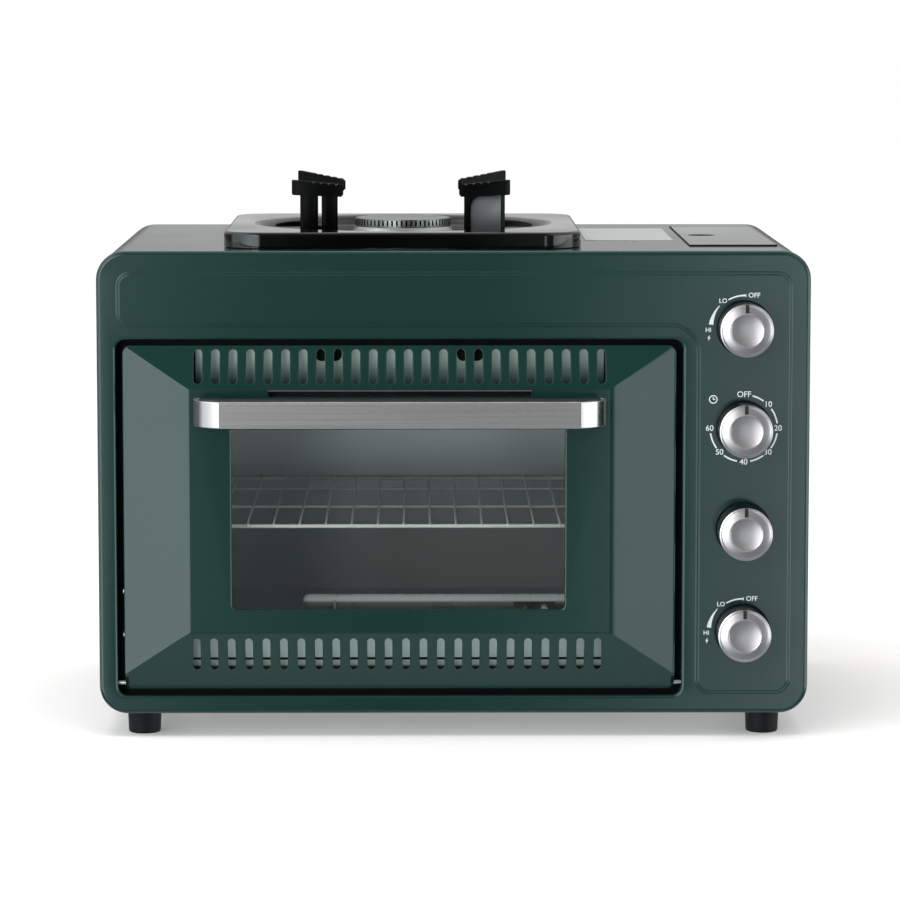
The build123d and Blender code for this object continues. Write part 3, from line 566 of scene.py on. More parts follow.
# =====================================================================================
# door outer panel: pressed raised face, slots, slit and window
# =====================================================================================
def door_panel():
    b = Build()
    X0, X1, Z0, Z1, R = -232.3, 156.3, 33.8, 278.2, 5.6
    fx0, fx1, fz0, fz1 = -186.1, 109.9, 76.2, 248.9
    D_FLAT = -10.5
    SL, SR, ST, SB = 12 / 43.2, 12 / 43.4, 12 / 28.0, 12 / 28.8
    NS, PITCH, SX = 24, 12.27, -178.95
    TOPS, BOTS = (252.1, 275.6), (48.8, 72.4)
    cells = [SX - PITCH / 2 + PITCH * k for k in range(NS + 1)]
    HIP = 45.9

    def dep(x, z):
        """depth of the pressed face: four planes falling away from the flat"""
        x = min(max(x, X0 + 0.9), X1 - 0.9)
        z = min(max(z, Z0 + 2.6), Z1 - 0.9)
        return D_FLAT + max(0.0, SL * (fx0 - x), SR * (x - fx1), ST * (z - fz1), SB * (fz0 - z))

    def fr(x0, x1, r):
        xa, xb = x0 + r, x1 - r
        return [0.0] + [(c - xa) / (xb - xa) for c in cells] + [1.0]

    def rect(x0, x1, z0, z1, r, f=None, hip=True):
        f = f or fr(x0, x1, r)
        pts = rr_pts(x0, x1, z0, z1, r, 4, f, f)
        if hip:
            # the lower hips run out at the sides, so a point of each loop sits there
            pts = [(x, HIP) if (abs(z - (z0 + r)) < 1e-6 and (abs(x - x0) < 1e-6 or abs(x - x1) < 1e-6)) else (x, z) for x, z in pts]
        return pts

    def inset(o, extra=None, d=None):
        pts = rect(X0 + o, X1 - o, Z0 + 2.0 * o, Z1 - o, R - o)
        return b.loop([(x, d if d is not None else dep(x, z) + extra, z) for x, z in pts])

    loops = [inset(1.0, d=13.2), inset(0.0, d=13.2)]
    rr = 1.1
    for k in range(6):
        a = math.pi / 2 * k / 5
        loops.append(inset(rr * (1 - math.cos(a)), extra=rr * (1 - math.sin(a))))
    loops.append(inset(1.5, extra=0.0))
    for p, q in zip(loops, loops[1:]):
        b.bridge(p, q)
    lo = loops[-1]
    f_lo = fr(X0 + 1.5, X1 - 1.5, R - 1.5)
    # convex crease round the flat: from the bevel (hi) over the corner line to the flat
    EX, ET, EB = 3.9, 2.5, 2.6
    H = (fx0 - EX, fx1 + EX, fz0 - EB, fz1 + ET, 0.3)
    C = (fx0, fx1, fz0, fz1, 0.25)
    B2 = (fx0 + 1.4, fx1 - 1.4, fz0 + 1.0, fz1 - 1.0, 0.2)
    f_hi = fr(*H[:2], H[4])

    def pts3(L):
        return [(x, dep(x, z), z) for x, z in rr_pts(L[0], L[1], L[2], L[3], L[4], 4, f_hi, f_hi)]

    ph, pc, pb = pts3(H), [(x, D_FLAT, z) for x, _, z in pts3(C)], [(x, D_FLAT, z) for x, _, z in pts3(B2)]
    hi = b.loop(ph)
    nb = len(f_lo)
    n_c = 4
    bot_ids = list(range(0, nb))
    top_start = nb + (n_c - 1) + 2 + (n_c - 1)
    top_ids = list(range(top_start, top_start + nb))
    skip = set(bot_ids[:-1]) | set(top_ids[:-1])
    # side faces in bands, so their shading stays even
    prev = lo
    plo = [(v.x / S, v.y / S - F, v.z / S) for v in (b.v[i] for i in lo)]
    for t in (0.06, 0.94, 1.0):
        if t == 1.0:
            cur = hi
        else:
            cur = list(lo)
            for i in range(len(lo)):
                if (i in bot_ids) or (i in top_ids):
                    continue
                p = [u + (w - u) * t for u, w in zip(plo[i], ph[i])]
                b.v.append(P(p[0], max(p[1], dep(p[0], p[2])), p[2]))
                cur[i] = len(b.v) - 1
        n = len(cur)
        for k in range(n):
            if k in skip:
                continue
            k2 = (k + 1) % n
            f = []
            for i in (prev[k], prev[k2], cur[k2], cur[k]):
                if i not in f:
                    f.append(i)
            if len(f) > 2:
                b.f.append(tuple(f))
        prev = cur

    def stadium(xc, z0, z1, w, grow, n=8):
        r = w / 2 + grow
        a0, a1 = z0 - grow + r, z1 + grow - r
        pts = []
        for k in range(n + 1):
            a = -math.pi + math.pi * k / n
            pts.append((xc + r * math.cos(a), a0 + r * math.sin(a)))
        for k in range(1, 3):
            pts.append((xc + r, a0 + (a1 - a0) * k / 3))
        for k in range(n + 1):
            a = math.pi * k / n
            pts.append((xc + r * math.cos(a), a1 + r * math.sin(a)))
        for k in range(1, 3):
            pts.append((xc - r, a1 + (a0 - a1) * k / 3))
        return pts

    for upper in (False, True):
        ids = bot_ids if not upper else list(reversed(top_ids))
        z0, z1 = TOPS if upper else BOTS
        for k in range(len(ids) - 1):
            quad = [lo[ids[k]], lo[ids[k + 1]], hi[ids[k + 1]], hi[ids[k]]]
            if k == 0 or k == len(ids) - 2:
                b.f.append(tuple(quad))
                continue
            xc = SX + PITCH * (k - 1) - (0.0 if upper else 1.9)
            rims = []
            for grow, dd in ((0.55, 0.0), (0.35, 0.05), (0.15, 0.18), (0.03, 0.38), (0.0, 0.7), (0.0, 1.2)):
                pts = stadium(xc, z0, z1, 5.8 if upper else 5.3, grow)
                rims.append(b.loop([(x, dep(0.0, z) + dd, z) for x, z in pts]))
            for p, q in zip(rims, rims[1:]):
                b.bridge(p, q)
            b.fill([quad, rims[0]])
    prev = hi
    for k in range(1, 8):
        u = k / 7
        cur = b.loop([bezier3(p, c, q, u) for p, c, q in zip(ph, pc, pb)])
        b.bridge(prev, cur)
        prev = cur
    last = prev
    holes = []

    def hole(x0, x1, z0, z1, r, prof):
        ls = [b.loop(rr_pts(x0 - g, x1 + g, z0 - g, z1 + g, r + g, 6), D_FLAT + dd) for g, dd in prof]
        for p, q in zip(ls, ls[1:]):
            b.bridge(p, q)
        return ls[0]

    holes.append(hole(-155.6, 77.7, 93.2, 233.0, 3.0,
                      ((1.3, 0.0), (0.85, 0.08), (0.4, 0.3), (0.1, 0.7), (0.0, 1.2), (0.0, 1.9))))
    holes.append(hole(-129.7, 54.2, 242.9, 247.4, 1.6, ((0.3, 0.0), (0.15, 0.1), (0.02, 0.35), (0.0, 0.7), (0.0, 1.3))))
    b.fill([last] + holes)
    o = obj_from("door_pressed_face", b.v, b.f, GREEN, "door", ("door_outer_panel",), 50)
    fix_normals(o)
    finish_again(o, 50)
    # the hips between the sloping faces are crisp, the creases round the flat are soft
    bm = bmesh.new()
    bm.from_mesh(o.data)
    xa, xb = fx0 * S - 0.0005, fx1 * S + 0.0005
    for e in bm.edges:
        if len(e.link_faces) == 2 and (max(v.co.x for v in e.verts) < xa or min(v.co.x for v in e.verts) > xb):
            n0, n1 = (f.normal for f in e.link_faces)
            if n0.y < -0.84 and n1.y < -0.84 and n0.angle(n1, 0.0) > math.radians(7):
                e.smooth = False
    bm.to_mesh(o.data)
    bm.free()
    return o


door_panel()


# =====================================================================================
# knobs
# =====================================================================================
def knob(name, d_base):
    h = 25.0
    R, DR = 18.5, 11.0
    prof = []
    for i in range(13):
        r = (DR - 0.1) * i / 12
        prof.append((r, h - 0.45 - 0.9 * (1 - (i / 12) ** 2)))
    prof += [(DR + 0.05, h - 0.38), (DR + 0.2, h - 0.1), (DR + 0.4, h), (DR + 0.9, h - 0.03), (DR + 1.4, h - 0.1), (DR + 2.6, h - 0.31), (DR + 4.2, h - 0.61), (DR + 5.7, h - 0.92)]
    for k in range(1, 6):
        a = math.radians(22) + math.radians(68) * k / 5
        prof.append((DR + 5.7 + 0.9 * (math.sin(a) - math.sin(math.radians(22))) / (1 - math.sin(math.radians(22))), h - 1.0 - 1.2 * (math.cos(math.radians(22)) - math.cos(a)) / math.cos(math.radians(22))))
    prof[-1] = (R, h - 2.2)
    prof += [(R + 0.12, h - 8), (R + 0.3, 0.6), (R + 0.1, 0.0), (R - 1.6, 0.0), (R - 1.9, h - 5.0), (0.0, h - 5.0)]
    z = KZ[name]

    def w(x, y, hh):
        return P(KX + x, d_base - hh, z + y)

    v, f = lathe(prof, 128, w)
    me = bpy.data.meshes.new(name + "_body")
    me.from_pydata([tuple(q) for q in v], [], f)
    o = bpy.data.objects.new(name + "_cap", me)
    scene.collection.objects.link(o)
    fix_normals(o)
    # pointer groove cut into the rim
    bm = bmesh.new()
    bmesh.ops.create_cube(bm, size=1.0)
    for q in bm.verts:
        q.co = Vector(((KX + q.co.x * 2.6) * S, (F + d_base - h + q.co.y * 4.0) * S, (z + 15.6 + q.co.z * 6.8) * S))
    cm = bpy.data.meshes.new("cut")
    bm.to_mesh(cm)
    bm.free()
    c = bpy.data.objects.new("cut", cm)
    scene.collection.objects.link(c)
    md = o.modifiers.new("groove", "BOOLEAN")
    md.operation = "DIFFERENCE"
    md.object = c
    md.solver = "EXACT"
    bpy.context.view_layer.update()
    apply_mods(o)
    bpy.data.objects.remove(c)
    finish_obj(o, [KNOB[name], KNOB_SIDE_SHADE], BODY[name], (name,), 32)
    # painted shade: the side wall takes a dark copy of the knob metal
    front = (F + d_base - h + 2.25) * S
    for f in o.data.polygons:
        f.material_index = 0 if f.center.y < front else 1
    # dark fill in the groove
    b = Build()
    fl = [(KX - 1.25, z + 12.25), (KX + 1.25, z + 12.25), (KX + 1.25, z + 18.2), (KX - 1.25, z + 18.2)]
    top = b.loop(fl, d_base - h + 1.5)
    bot = b.loop(fl, d_base - h + 1.98)
    b.bridge(bot, top)
    b.cap(top)
    b.cap(list(reversed(bot)))
    m = obj_from(name + "_mark", b.v, b.f, DARKMARK, BODY[name], (), 30)
    fix_normals(m)
    finish_again(m, 30)
    return o


BODY = {"stove_knob": "stove_knob", "timer_knob": "timer_knob", "safety_button": "safety_button", "oven_knob": "oven_knob"}
for k in KZ:
    knob(k, -7.2 if k == "safety_button" else -1.8)


def bezels():
    for k, z in KZ.items():
        prof = [(18.9, 0.0), (18.9, 0.6), (19.0, 0.8), (19.15, 0.88), (19.35, 0.85), (19.5, 0.7), (19.6, 0.45), (19.65, 0.0)]

        def w(x, y, h, z=z):
            return P(KX + x, -1.0 - h, z + y)

        v, f = lathe(prof, 112, w)
        o = obj_from(k + "_bezel", v, f, BEZEL, "housing", (), 40)
        fix_normals(o)
        finish_again(o, 40)
    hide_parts("knob_bezels")


bezels()


# =====================================================================================
# door handle: flat strap with bent ends
# =====================================================================================
def handle():
    x0, x1, z0, z1 = -181.3, 106.2, 224.0, 242.4
    front, back, t, R = -40.5, -10.5, 3.0, 25.0
    path = []   # (x, d, nx, nd): outward normal
    # outer face path, from the left foot's inner end round to the right
    pts = []
    pts.append((x0 + 19, back, 0, 1))
    pts.append((x0 + 3.0, back, 0, 1))
    for k in range(1, 6):
        a = math.pi / 2 * k / 6
        pts.append((x0 + 3.0 - 3.0 * math.sin(a), back - 3.0 + 3.0 * math.cos(a), -math.sin(a), math.cos(a)))
    pts.append((x0, back - 3.0, -1, 0))
    # the bend meets the flat front at a slight crease, 15 degrees
    bend = math.radians(75)
    pts.append((x0, front + R * math.sin(bend), -1, 0))
    for a in [bend * k / 15 for k in range(1, 15)] + [bend - 0.01, bend]:
        pts.append((x0 + R - R * math.cos(a), front + R * math.sin(bend) - R * math.sin(a), -math.cos(a), -math.sin(a)))
    xe = x0 + R - R * math.cos(bend)
    pts.append((xe + 0.3, front, 0, -1))
    right = [(x1 + x0 - p[0], p[1], -p[2], p[3]) for p in reversed(pts)]
    for k in range(1, 8):
        pts.append((xe + (x1 + x0 - 2 * xe) * k / 8, front, 0, -1))
    pts += right
    b = Build()
    e = 0.7
    prof = []   # (inset from outer face, z)
    n = 4
    for (ci, cz, a0) in ((e, z0 + e, -180), (t - e, z0 + e, -90), (t - e, z1 - e, 0), (e, z1 - e, 90)):
        for k in range(n + 1):
            a = math.radians(a0 + 90 * k / n)
            prof.append((ci + e * math.cos(a), cz + e * math.sin(a)))
    loops = []
    for x, d, nx, nd in pts:
        loops.append(b.loop([(x - nx * i, d - nd * i, z) for i, z in prof]))
    for p, q in zip(loops, loops[1:]):
        b.bridge(p, q)
    b.cap(loops[0])
    b.cap(list(reversed(loops[-1])))
    o = obj_from("handle_strap", b.v, b.f, [STEEL, STEEL_EDGE_HIGHLIGHT, STEEL_BEND_HIGHLIGHT], "door", ("door_handle",), 40)
    fix_normals(o)
    for f in o.data.polygons:
        # painted highlight: faces turned sideways take the brighter bend steel, top and bottom edges the near-white
        # edge steel
        f.material_index = 1 if abs(f.normal.z) > 0.3 else 2 if abs(f.normal.x) > 0.15 else 0
    finish_again(o, 40)


handle()


def rounded_block(name, x0, x1, d0, d1, z0, z1, r, mat, body, replaces=(), slot=None, n=4):
    """box with all edges rounded"""
    bm = bmesh.new()
    bmesh.ops.create_cube(bm, size=1.0)
    for q in bm.verts:
        q.co = P((x0 + x1) / 2 + q.co.x * (x1 - x0), (d0 + d1) / 2 + q.co.y * (d1 - d0), (z0 + z1) / 2 + q.co.z * (z1 - z0))
    bmesh.ops.bevel(bm, geom=list(bm.edges), offset=r * S, segments=n, profile=0.5, affect="EDGES")
    me = bpy.data.meshes.new(name)
    bm.to_mesh(me)
    bm.free()
    o = bpy.data.objects.new(name, me)
    scene.collection.objects.link(o)
    finish_obj(o, mat, body, replaces, 45)
    return o


def slab_plan(name, outline, z0, z1, bevel, mat, body, replaces=(), segs=3):
    """plate from an outline in (X, depth), its upper and lower edges rounded"""
    bm = bmesh.new()
    vs = [bm.verts.new(P(x, d, z0)) for x, d in outline]
    face = bm.faces.new(vs)
    ret = bmesh.ops.extrude_face_region(bm, geom=[face])
    for g in ret["geom"]:
        if isinstance(g, bmesh.types.BMVert):
            g.co.z = z1 * S
    bmesh.ops.recalc_face_normals(bm, faces=bm.faces)
    edges = [e for e in bm.edges if abs(e.verts[0].co.z - e.verts[1].co.z) < 1e-7]
    bmesh.ops.bevel(bm, geom=edges, offset=bevel * S, segments=segs, profile=0.5, affect="EDGES", clamp_overlap=True)
    bmesh.ops.recalc_face_normals(bm, faces=bm.faces)
    me = bpy.data.meshes.new(name)
    bm.to_mesh(me)
    bm.free()
    o = bpy.data.objects.new(name, me)
    scene.collection.objects.link(o)
    finish_obj(o, mat, body, replaces, 40)
    return o


def grip():
    x0, x1 = -181.3, 106.2
    pts = []
    cx = x0 + 18
    t0 = math.asin(6 / 14.9)
    for k in range(11):
        t = t0 + (math.pi / 2 - t0) * k / 10
        pts.append((cx - 14.9 * math.cos(t), -22.5 - 14.9 * math.sin(t)))
    right = [(x0 + x1 - x, d) for x, d in reversed(pts)]
    slab_plan("handle_grip", pts + right, 223.0, 244.2, 1.5, BLACK_PLASTIC, "door", ("handle_liner",), 4)


grip()


# =====================================================================================
# drip tray
# =====================================================================================
def tray():
    b = Build()
    cx, cd = BX, BD
    H, R = 127.0, 27.0
    z_bot, z_top = 344.6, 355.5

    def sq(o, z, n=14):
        pts = rr_pts(cx - H + o, cx + H - o, cd - H + o, cd + H - o, R - o, n)
        return b.loop([(x, d, z) for x, d in pts])

    loops = [sq(1.2, z_bot), sq(0.0, z_bot)]
    e = 2.4
    for k in range(7):
        a = math.pi / 2 * k / 6
        loops.append(sq(e * (1 - math.cos(a)), z_top - e * (1 - math.sin(a))))
    for p, q in zip(loops, loops[1:]):
        b.bridge(p, q)
    edge = loops[-1]
    seg = 144

    def ring(r, z):
        return b.loop([(cx + r * math.cos(2 * math.pi * k / seg), cd + r * math.sin(2 * math.pi * k / seg), z) for k in range(seg)])

    prof = [(109.6, 355.5), (108.4, 355.38), (107.2, 355.05), (105.9, 354.4), (104.7, 353.4), (103.6, 352.0), (102.6, 350.4), (101.4, 349.0),
            (99.8, 347.9), (98.0, 347.3), (95.5, 347.02), (90.0, 347.0), (60.0, 347.0), (47.6, 347.0), (46.9, 347.08), (46.3, 347.1), (46.0, 346.9), (46.0, 346.3)]
    rings = [ring(r, z) for r, z in prof]
    for p, q in zip(rings, rings[1:]):
        b.bridge(p, q)
    b.fill([edge, rings[0]])
    o = obj_from("tray_pressing", b.v, b.f, BLACK, "tray", ("drip_tray",), 60)
    fix_normals(o)
    finish_again(o, 60)


tray()


# =====================================================================================
# pan supports
# =====================================================================================
def extruded(name, outline, holes, half, mat, body, xf, bevel, replaces=()):
    """flat plate from an outline in (r, z) with thickness 2*half, edges rounded; xf maps (r, t, z) to the frame"""
    bm = bmesh.new()
    vs = [bm.verts.new((p[0], -half, p[1])) for p in outline]
    face = bm.faces.new(vs)
    ret = bmesh.ops.extrude_face_region(bm, geom=[face])
    moved = [g for g in ret["geom"] if isinstance(g, bmesh.types.BMVert)]
    for q in moved:
        q.co.y = half
    bmesh.ops.recalc_face_normals(bm, faces=bm.faces)
    if bevel:
        edges = [e for e in bm.edges if abs(e.verts[0].co.y - e.verts[1].co.y) < 1e-6]
        bmesh.ops.bevel(bm, geom=edges, offset=bevel, segments=2, profile=0.5, affect="EDGES", clamp_overlap=True)
    for q in bm.verts:
        q.co = xf(q.co.x, q.co.y, q.co.z)
    bmesh.ops.recalc_face_normals(bm, faces=bm.faces)
    me = bpy.data.meshes.new(name)
    bm.to_mesh(me)
    bm.free()
    o = bpy.data.objects.new(name, me)
    scene.collection.objects.link(o)
    finish_obj(o, mat, body, replaces, 35)
    return o


def join(name, objs, replaces=(), mat_keep=True):
    bpy.ops.object.select_all(action="DESELECT")
    for o in objs:
        o.select_set(True)
    bpy.context.view_layer.objects.active = objs[0]
    bpy.ops.object.join()
    o = bpy.context.view_layer.objects.active
    o.name = name
    return o


def supports():
    for ang, web in ((135, False), (225, False), (45, True), (-45, True)):
        a = math.radians(ang)

        def xf(r, t, z, a=a, sh=2.2 if web else 0.0):
            return P(BX - sh + r * math.cos(a) - t * math.sin(a), BD + r * math.sin(a) + t * math.cos(a), z)

        # head: straight slope on the outside, then four rounded teeth towards the middle
        def slope(r):
            return 385.6 + 4.9 * (r - 62.4) / 48.2

        head = [(64.5, 376.6), (109.3, 379.4), (110.2, 379.9), (110.5, 380.8), (110.5, slope(110.5) - 0.6), (109.8, slope(110.2)), (93.6, slope(93.6))]
        for r in (93.0, 85.4, 77.8, 70.2):
            z = slope(r)
            head += [(r + 0.1, z - 1.5), (r - 0.7, z - 1.55), (r - 1.6, z - 0.75), (r - 2.9, z - 0.35), (r - 4.6, z - 0.45), (r - 6.4, z - 0.75)]
        head = head[:-1] + [(63.2, 384.6), (62.5, 383.8), (62.5, 378.2)]
        extruded("support_head_%d" % (ang % 360), head, [], 1.95, BLACK_SUP, "tray", xf, 0.45, ())
        tag = "support_%d" % (ang % 360)
        if web:
            # pressed web with a turned edge on the outside
            b = Build()
            prof = [(72.6, 0.35), (102.6, 0.35), (103.2, 0.45), (103.7, 0.75), (104.1, 1.2), (104.3, 1.7), (104.4, 1.95)]
            for side in (1, -1):
                rows = []
                for z in (349.9, 378.6):
                    rows.append([len(b.v) + k for k in range(len(prof))])
                    for r, t in prof:
                        b.v.append(xf(r, t * side, z))
                for k in range(len(prof) - 1):
                    b.f.append((rows[0][k], rows[0][k + 1], rows[1][k + 1], rows[1][k]))
            n = len(prof)
            o = obj_from(tag + "_web", b.v, b.f, WEBGREY, "tray", (), 60, False)
            sd = o.modifiers.new("sheet", "SOLIDIFY")
            sd.thickness = 0.25 * S
            extruded(tag + "_post_a", [(69.0, 347.1), (72.8, 347.1), (72.8, 378.4), (69.0, 378.0)], [], 1.95, BLACK_SUP, "tray", xf, 0.5, ())
            extruded(tag + "_post_b", [(104.3, 353.2), (105.2, 354.2), (105.2, 380.3), (104.3, 380.0)], [], 1.95, BLACK_SUP, "tray", xf, 0.35, ())
            extruded(tag + "_base", [(69.0, 347.1), (99.0, 347.6), (101.8, 350.4), (69.0, 350.4)], [], 1.9, BLACK_SUP, "tray", xf, 0.4, ())
            arch = [(72.6, 378.8), (72.6, 368.2)]
            for k in range(1, 9):
                t = math.pi / 2 * k / 8
                arch.append((72.6 + 9.4 - 9.4 * math.cos(t), 368.2 + 9.4 * math.sin(t)))
            arch.append((82.0, 378.8))
            extruded(tag + "_arch", arch, [], 1.9, BLACK_SUP, "tray", xf, 0.0, ())
        else:
            extruded(tag + "_post_a", [(70.8, 347.1), (81.3, 347.1), (81.3, 378.9), (70.8, 378.2)], [], 1.95, BLACK_SUP, "tray", xf, 0.8, ())
            extruded(tag + "_post_b", [(92.0, 347.1), (102.5, 347.6), (102.5, 380.3), (92.0, 379.6)], [], 1.95, BLACK_SUP, "tray", xf, 0.8, ())
            extruded(tag + "_base", [(70.8, 347.1), (96.0, 347.1), (96.0, 349.9), (70.8, 349.9)], [], 1.9, BLACK_SUP, "tray", xf, 0.4, ())
    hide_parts("pan_supports")


WEBGREY = plain("support_web_enamel", (0.105, 0.11, 0.115), 0.35, var=0.05, nscale=20, bump=0.02)
supports()


# =====================================================================================
# stove burner
# =====================================================================================
def zaxis(x, y, h):
    return P(BX + x, BD + y, h)


def crown():
    """slotted ring: a tooth and a gap alternately"""
    b = Build()
    teeth = 63
    sub = 3
    z_lo, z_gap, z_hi = 349.0, 354.5, 358.7
    r_out, r_in = 35.0, 30.6
    rows = [(30.6, 349.0), (37.2, 349.0), (36.9, 350.6), (36.0, 352.0), (34.9, 353.2), (r_out, 354.0)]
    angs = []
    for k in range(teeth):
        a0 = 2 * math.pi * k / teeth
        gap = 1.35 / r_out
        angs += [a0 - gap / 2, a0 + gap / 2, (a0 + gap / 2 + a0 + 2 * math.pi / teeth - gap / 2) / 2]
    n = len(angs)

    def ring(r, z):
        return b.loop([(BX + r * math.cos(a), BD + r * math.sin(a), z) for a in angs])

    rl = [ring(r, z) for r, z in rows]
    for p, q in zip(rl, rl[1:]):
        b.bridge(p, q)
    gap_o, gap_i = ring(r_out, z_gap), ring(r_in, z_gap)
    mid_o = ring(r_out, 358.5)
    mid_i = ring(r_in, 358.5)
    top_o, top_i = ring(r_out, z_hi), ring(r_in, z_hi)
    low_i = rl[0]
    b.bridge(rl[-1], gap_o)
    b.bridge(gap_i, low_i)
    for k in range(n):
        k2 = (k + 1) % n
        if k % 3 == 0:      # gap
            b.f.append((gap_o[k], gap_o[k2], gap_i[k2], gap_i[k]))
            b.f.append((mid_o[k], mid_i[k], mid_i[k2], mid_o[k2]))
            b.f.append((mid_o[k], mid_o[k2], top_o[k2], top_o[k]))
            b.f.append((mid_i[k], top_i[k], top_i[k2], mid_i[k2]))
        else:
            for p, q in ((gap_o, mid_o), (mid_o, top_o)):
                b.f.append((p[k], p[k2], q[k2], q[k]))
            for p, q in ((mid_i, gap_i), (top_i, mid_i)):
                b.f.append((p[k], p[k2], q[k2], q[k]))
            if k % 3 == 1:
                b.f.append((gap_o[k], mid_o[k], mid_i[k], gap_i[k]))
            if (k + 1) % 3 == 0:
                b.f.append((gap_o[k2], gap_i[k2], mid_i[k2], mid_o[k2]))
    b.bridge(top_o, top_i)
    o = obj_from("burner_crown_ring", b.v, b.f, [CROWN, MATT_BLACK], "housing", ("burner_crown",), 35)
    fix_normals(o)
    # painted shade: the insides of the ports are black
    mid = Vector((BX * S, (F + BD) * S, 0.0))
    for f in o.data.polygons:
        rad = f.center - mid
        rad.z = 0.0
        port = 0.3544 < f.center.z < 0.3586 and ((f.normal.z > 0.5 and f.center.z < 0.3546) or (abs(f.normal.z) < 0.5 and abs(f.normal.dot(rad.normalized())) < 0.5))
        f.material_index = 1 if port else 0
    finish_again(o, 35)
    prof = [(0, 358.7), (34.4, 358.7), (34.6, 358.85), (34.6, 359.15), (34.4, 359.4), (33.9, 359.55), (32, 359.8), (28.0, 360.25), (24.0, 360.6),
            (18, 360.95), (12, 361.2), (6, 361.35), (0, 361.4)]
    v, f = lathe(prof, 128, zaxis)
    o = obj_from("burner_cap_disc", v, f, CAPM, "housing", ("burner_cap",), 35)
    fix_normals(o)
    finish_again(o, 35)


crown()


# =====================================================================================
# feet
# =====================================================================================
def feet():
    for sx in (-220.0, 220.0):
        for d in (27.3, 311.0):
            prof = [(5.0, 8.0), (5.0, 0.6), (5.5, 0.0), (10.0, 0.0), (10.8, 0.25), (11.25, 0.9), (11.4, 1.8), (11.55, 5.0), (12.0, 15.0), (12.2, 17.2), (12.0, 17.75), (3.0, 17.75), (3.0, 8.0), (5.0, 8.0)]

            def w(x, y, h, sx=sx, d=d):
                return P(sx + x, d + y, h)

            v, f = lathe(prof, 64, w)
            o = obj_from("foot_%s_%s" % ("l" if sx < 0 else "r", "f" if d < 100 else "b"), v, f, RUBBER, "housing", (), 40)
            fix_normals(o)
            finish_again(o, 40)
    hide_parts("rubber_feet")


feet()


# =====================================================================================
# wire rack
# =====================================================================================
def wire(name, pts, r, mat, body, closed=False, replaces=(), res=3):
    cu = bpy.data.curves.new(name, "CURVE")
    cu.dimensions = "3D"
    cu.bevel_depth = r * S
    cu.bevel_resolution = res
    cu.use_fill_caps = True
    sp = cu.splines.new("POLY")
    sp.points.add(len(pts) - 1)
    for q, p in zip(sp.points, pts):
        q.co = (*P(*p), 1.0)
    sp.use_cyclic_u = closed
    o = bpy.data.objects.new(name, cu)
    scene.collection.objects.link(o)
    bpy.context.view_layer.update()
    dg = bpy.context.evaluated_depsgraph_get()
    me = bpy.data.meshes.new_from_object(o.evaluated_get(dg))
    bpy.data.objects.remove(o)
    o = bpy.data.objects.new(name, me)
    scene.collection.objects.link(o)
    me.materials.clear()
    finish_obj(o, mat, body, replaces, 60, False)
    return o


def rack():
    z = 147.0
    x0, x1, d0, d1 = -203.5, 132.5, 30.0, 317.0
    r = 9.0
    loop = []
    for cx, cd, a0 in ((x1 - r, d0 + r, -90), (x1 - r, d1 - r, 0), (x0 + r, d1 - r, 90), (x0 + r, d0 + r, 180)):
        for k in range(7):
            a = math.radians(a0 + 90 * k / 6)
            loop.append((cx + r * math.cos(a), cd + r * math.sin(a), z))
    objs = [wire("rack_frame_wire", loop, 1.35, CHROME, "rack", True, (), 4)]
    for k, d in enumerate((138.0, 247.0)):
        objs.append(wire("rack_cross_%d" % k, [(x0 + 1, d, z + 0.3 - 0.2 * k), (x1 - 1, d, z + 0.3 - 0.2 * k)], 0.9 - 0.2 * k, CHROME, "rack", False, ()))
    for i in range(17):
        x = -146.1 + 18.48 * (i - 2)
        zz = z + 2.0
        pts = [(x, d0 - 1.2, z - 0.5), (x, d0 - 1.5, z + 0.8), (x, d0 - 0.4, z + 1.8), (x, d0 + 2.0, zz), (x, d1 - 2.0, zz), (x, d1 + 0.4, z + 1.8), (x, d1 + 1.2, z + 0.3)]
        objs.append(wire("rack_wire_%02d" % i, pts, 0.8, CHROME, "rack", False, (), 2))
    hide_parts("wire_rack")


rack()

SHADE_BLACK = plain("painted_shade_black", (0.0012, 0.0012, 0.0013), 0.8, var=0.1, bump=0.02)
SHADE_BLACK.node_tree.nodes["Principled BSDF"].inputs["Specular IOR Level"].default_value = 0.0


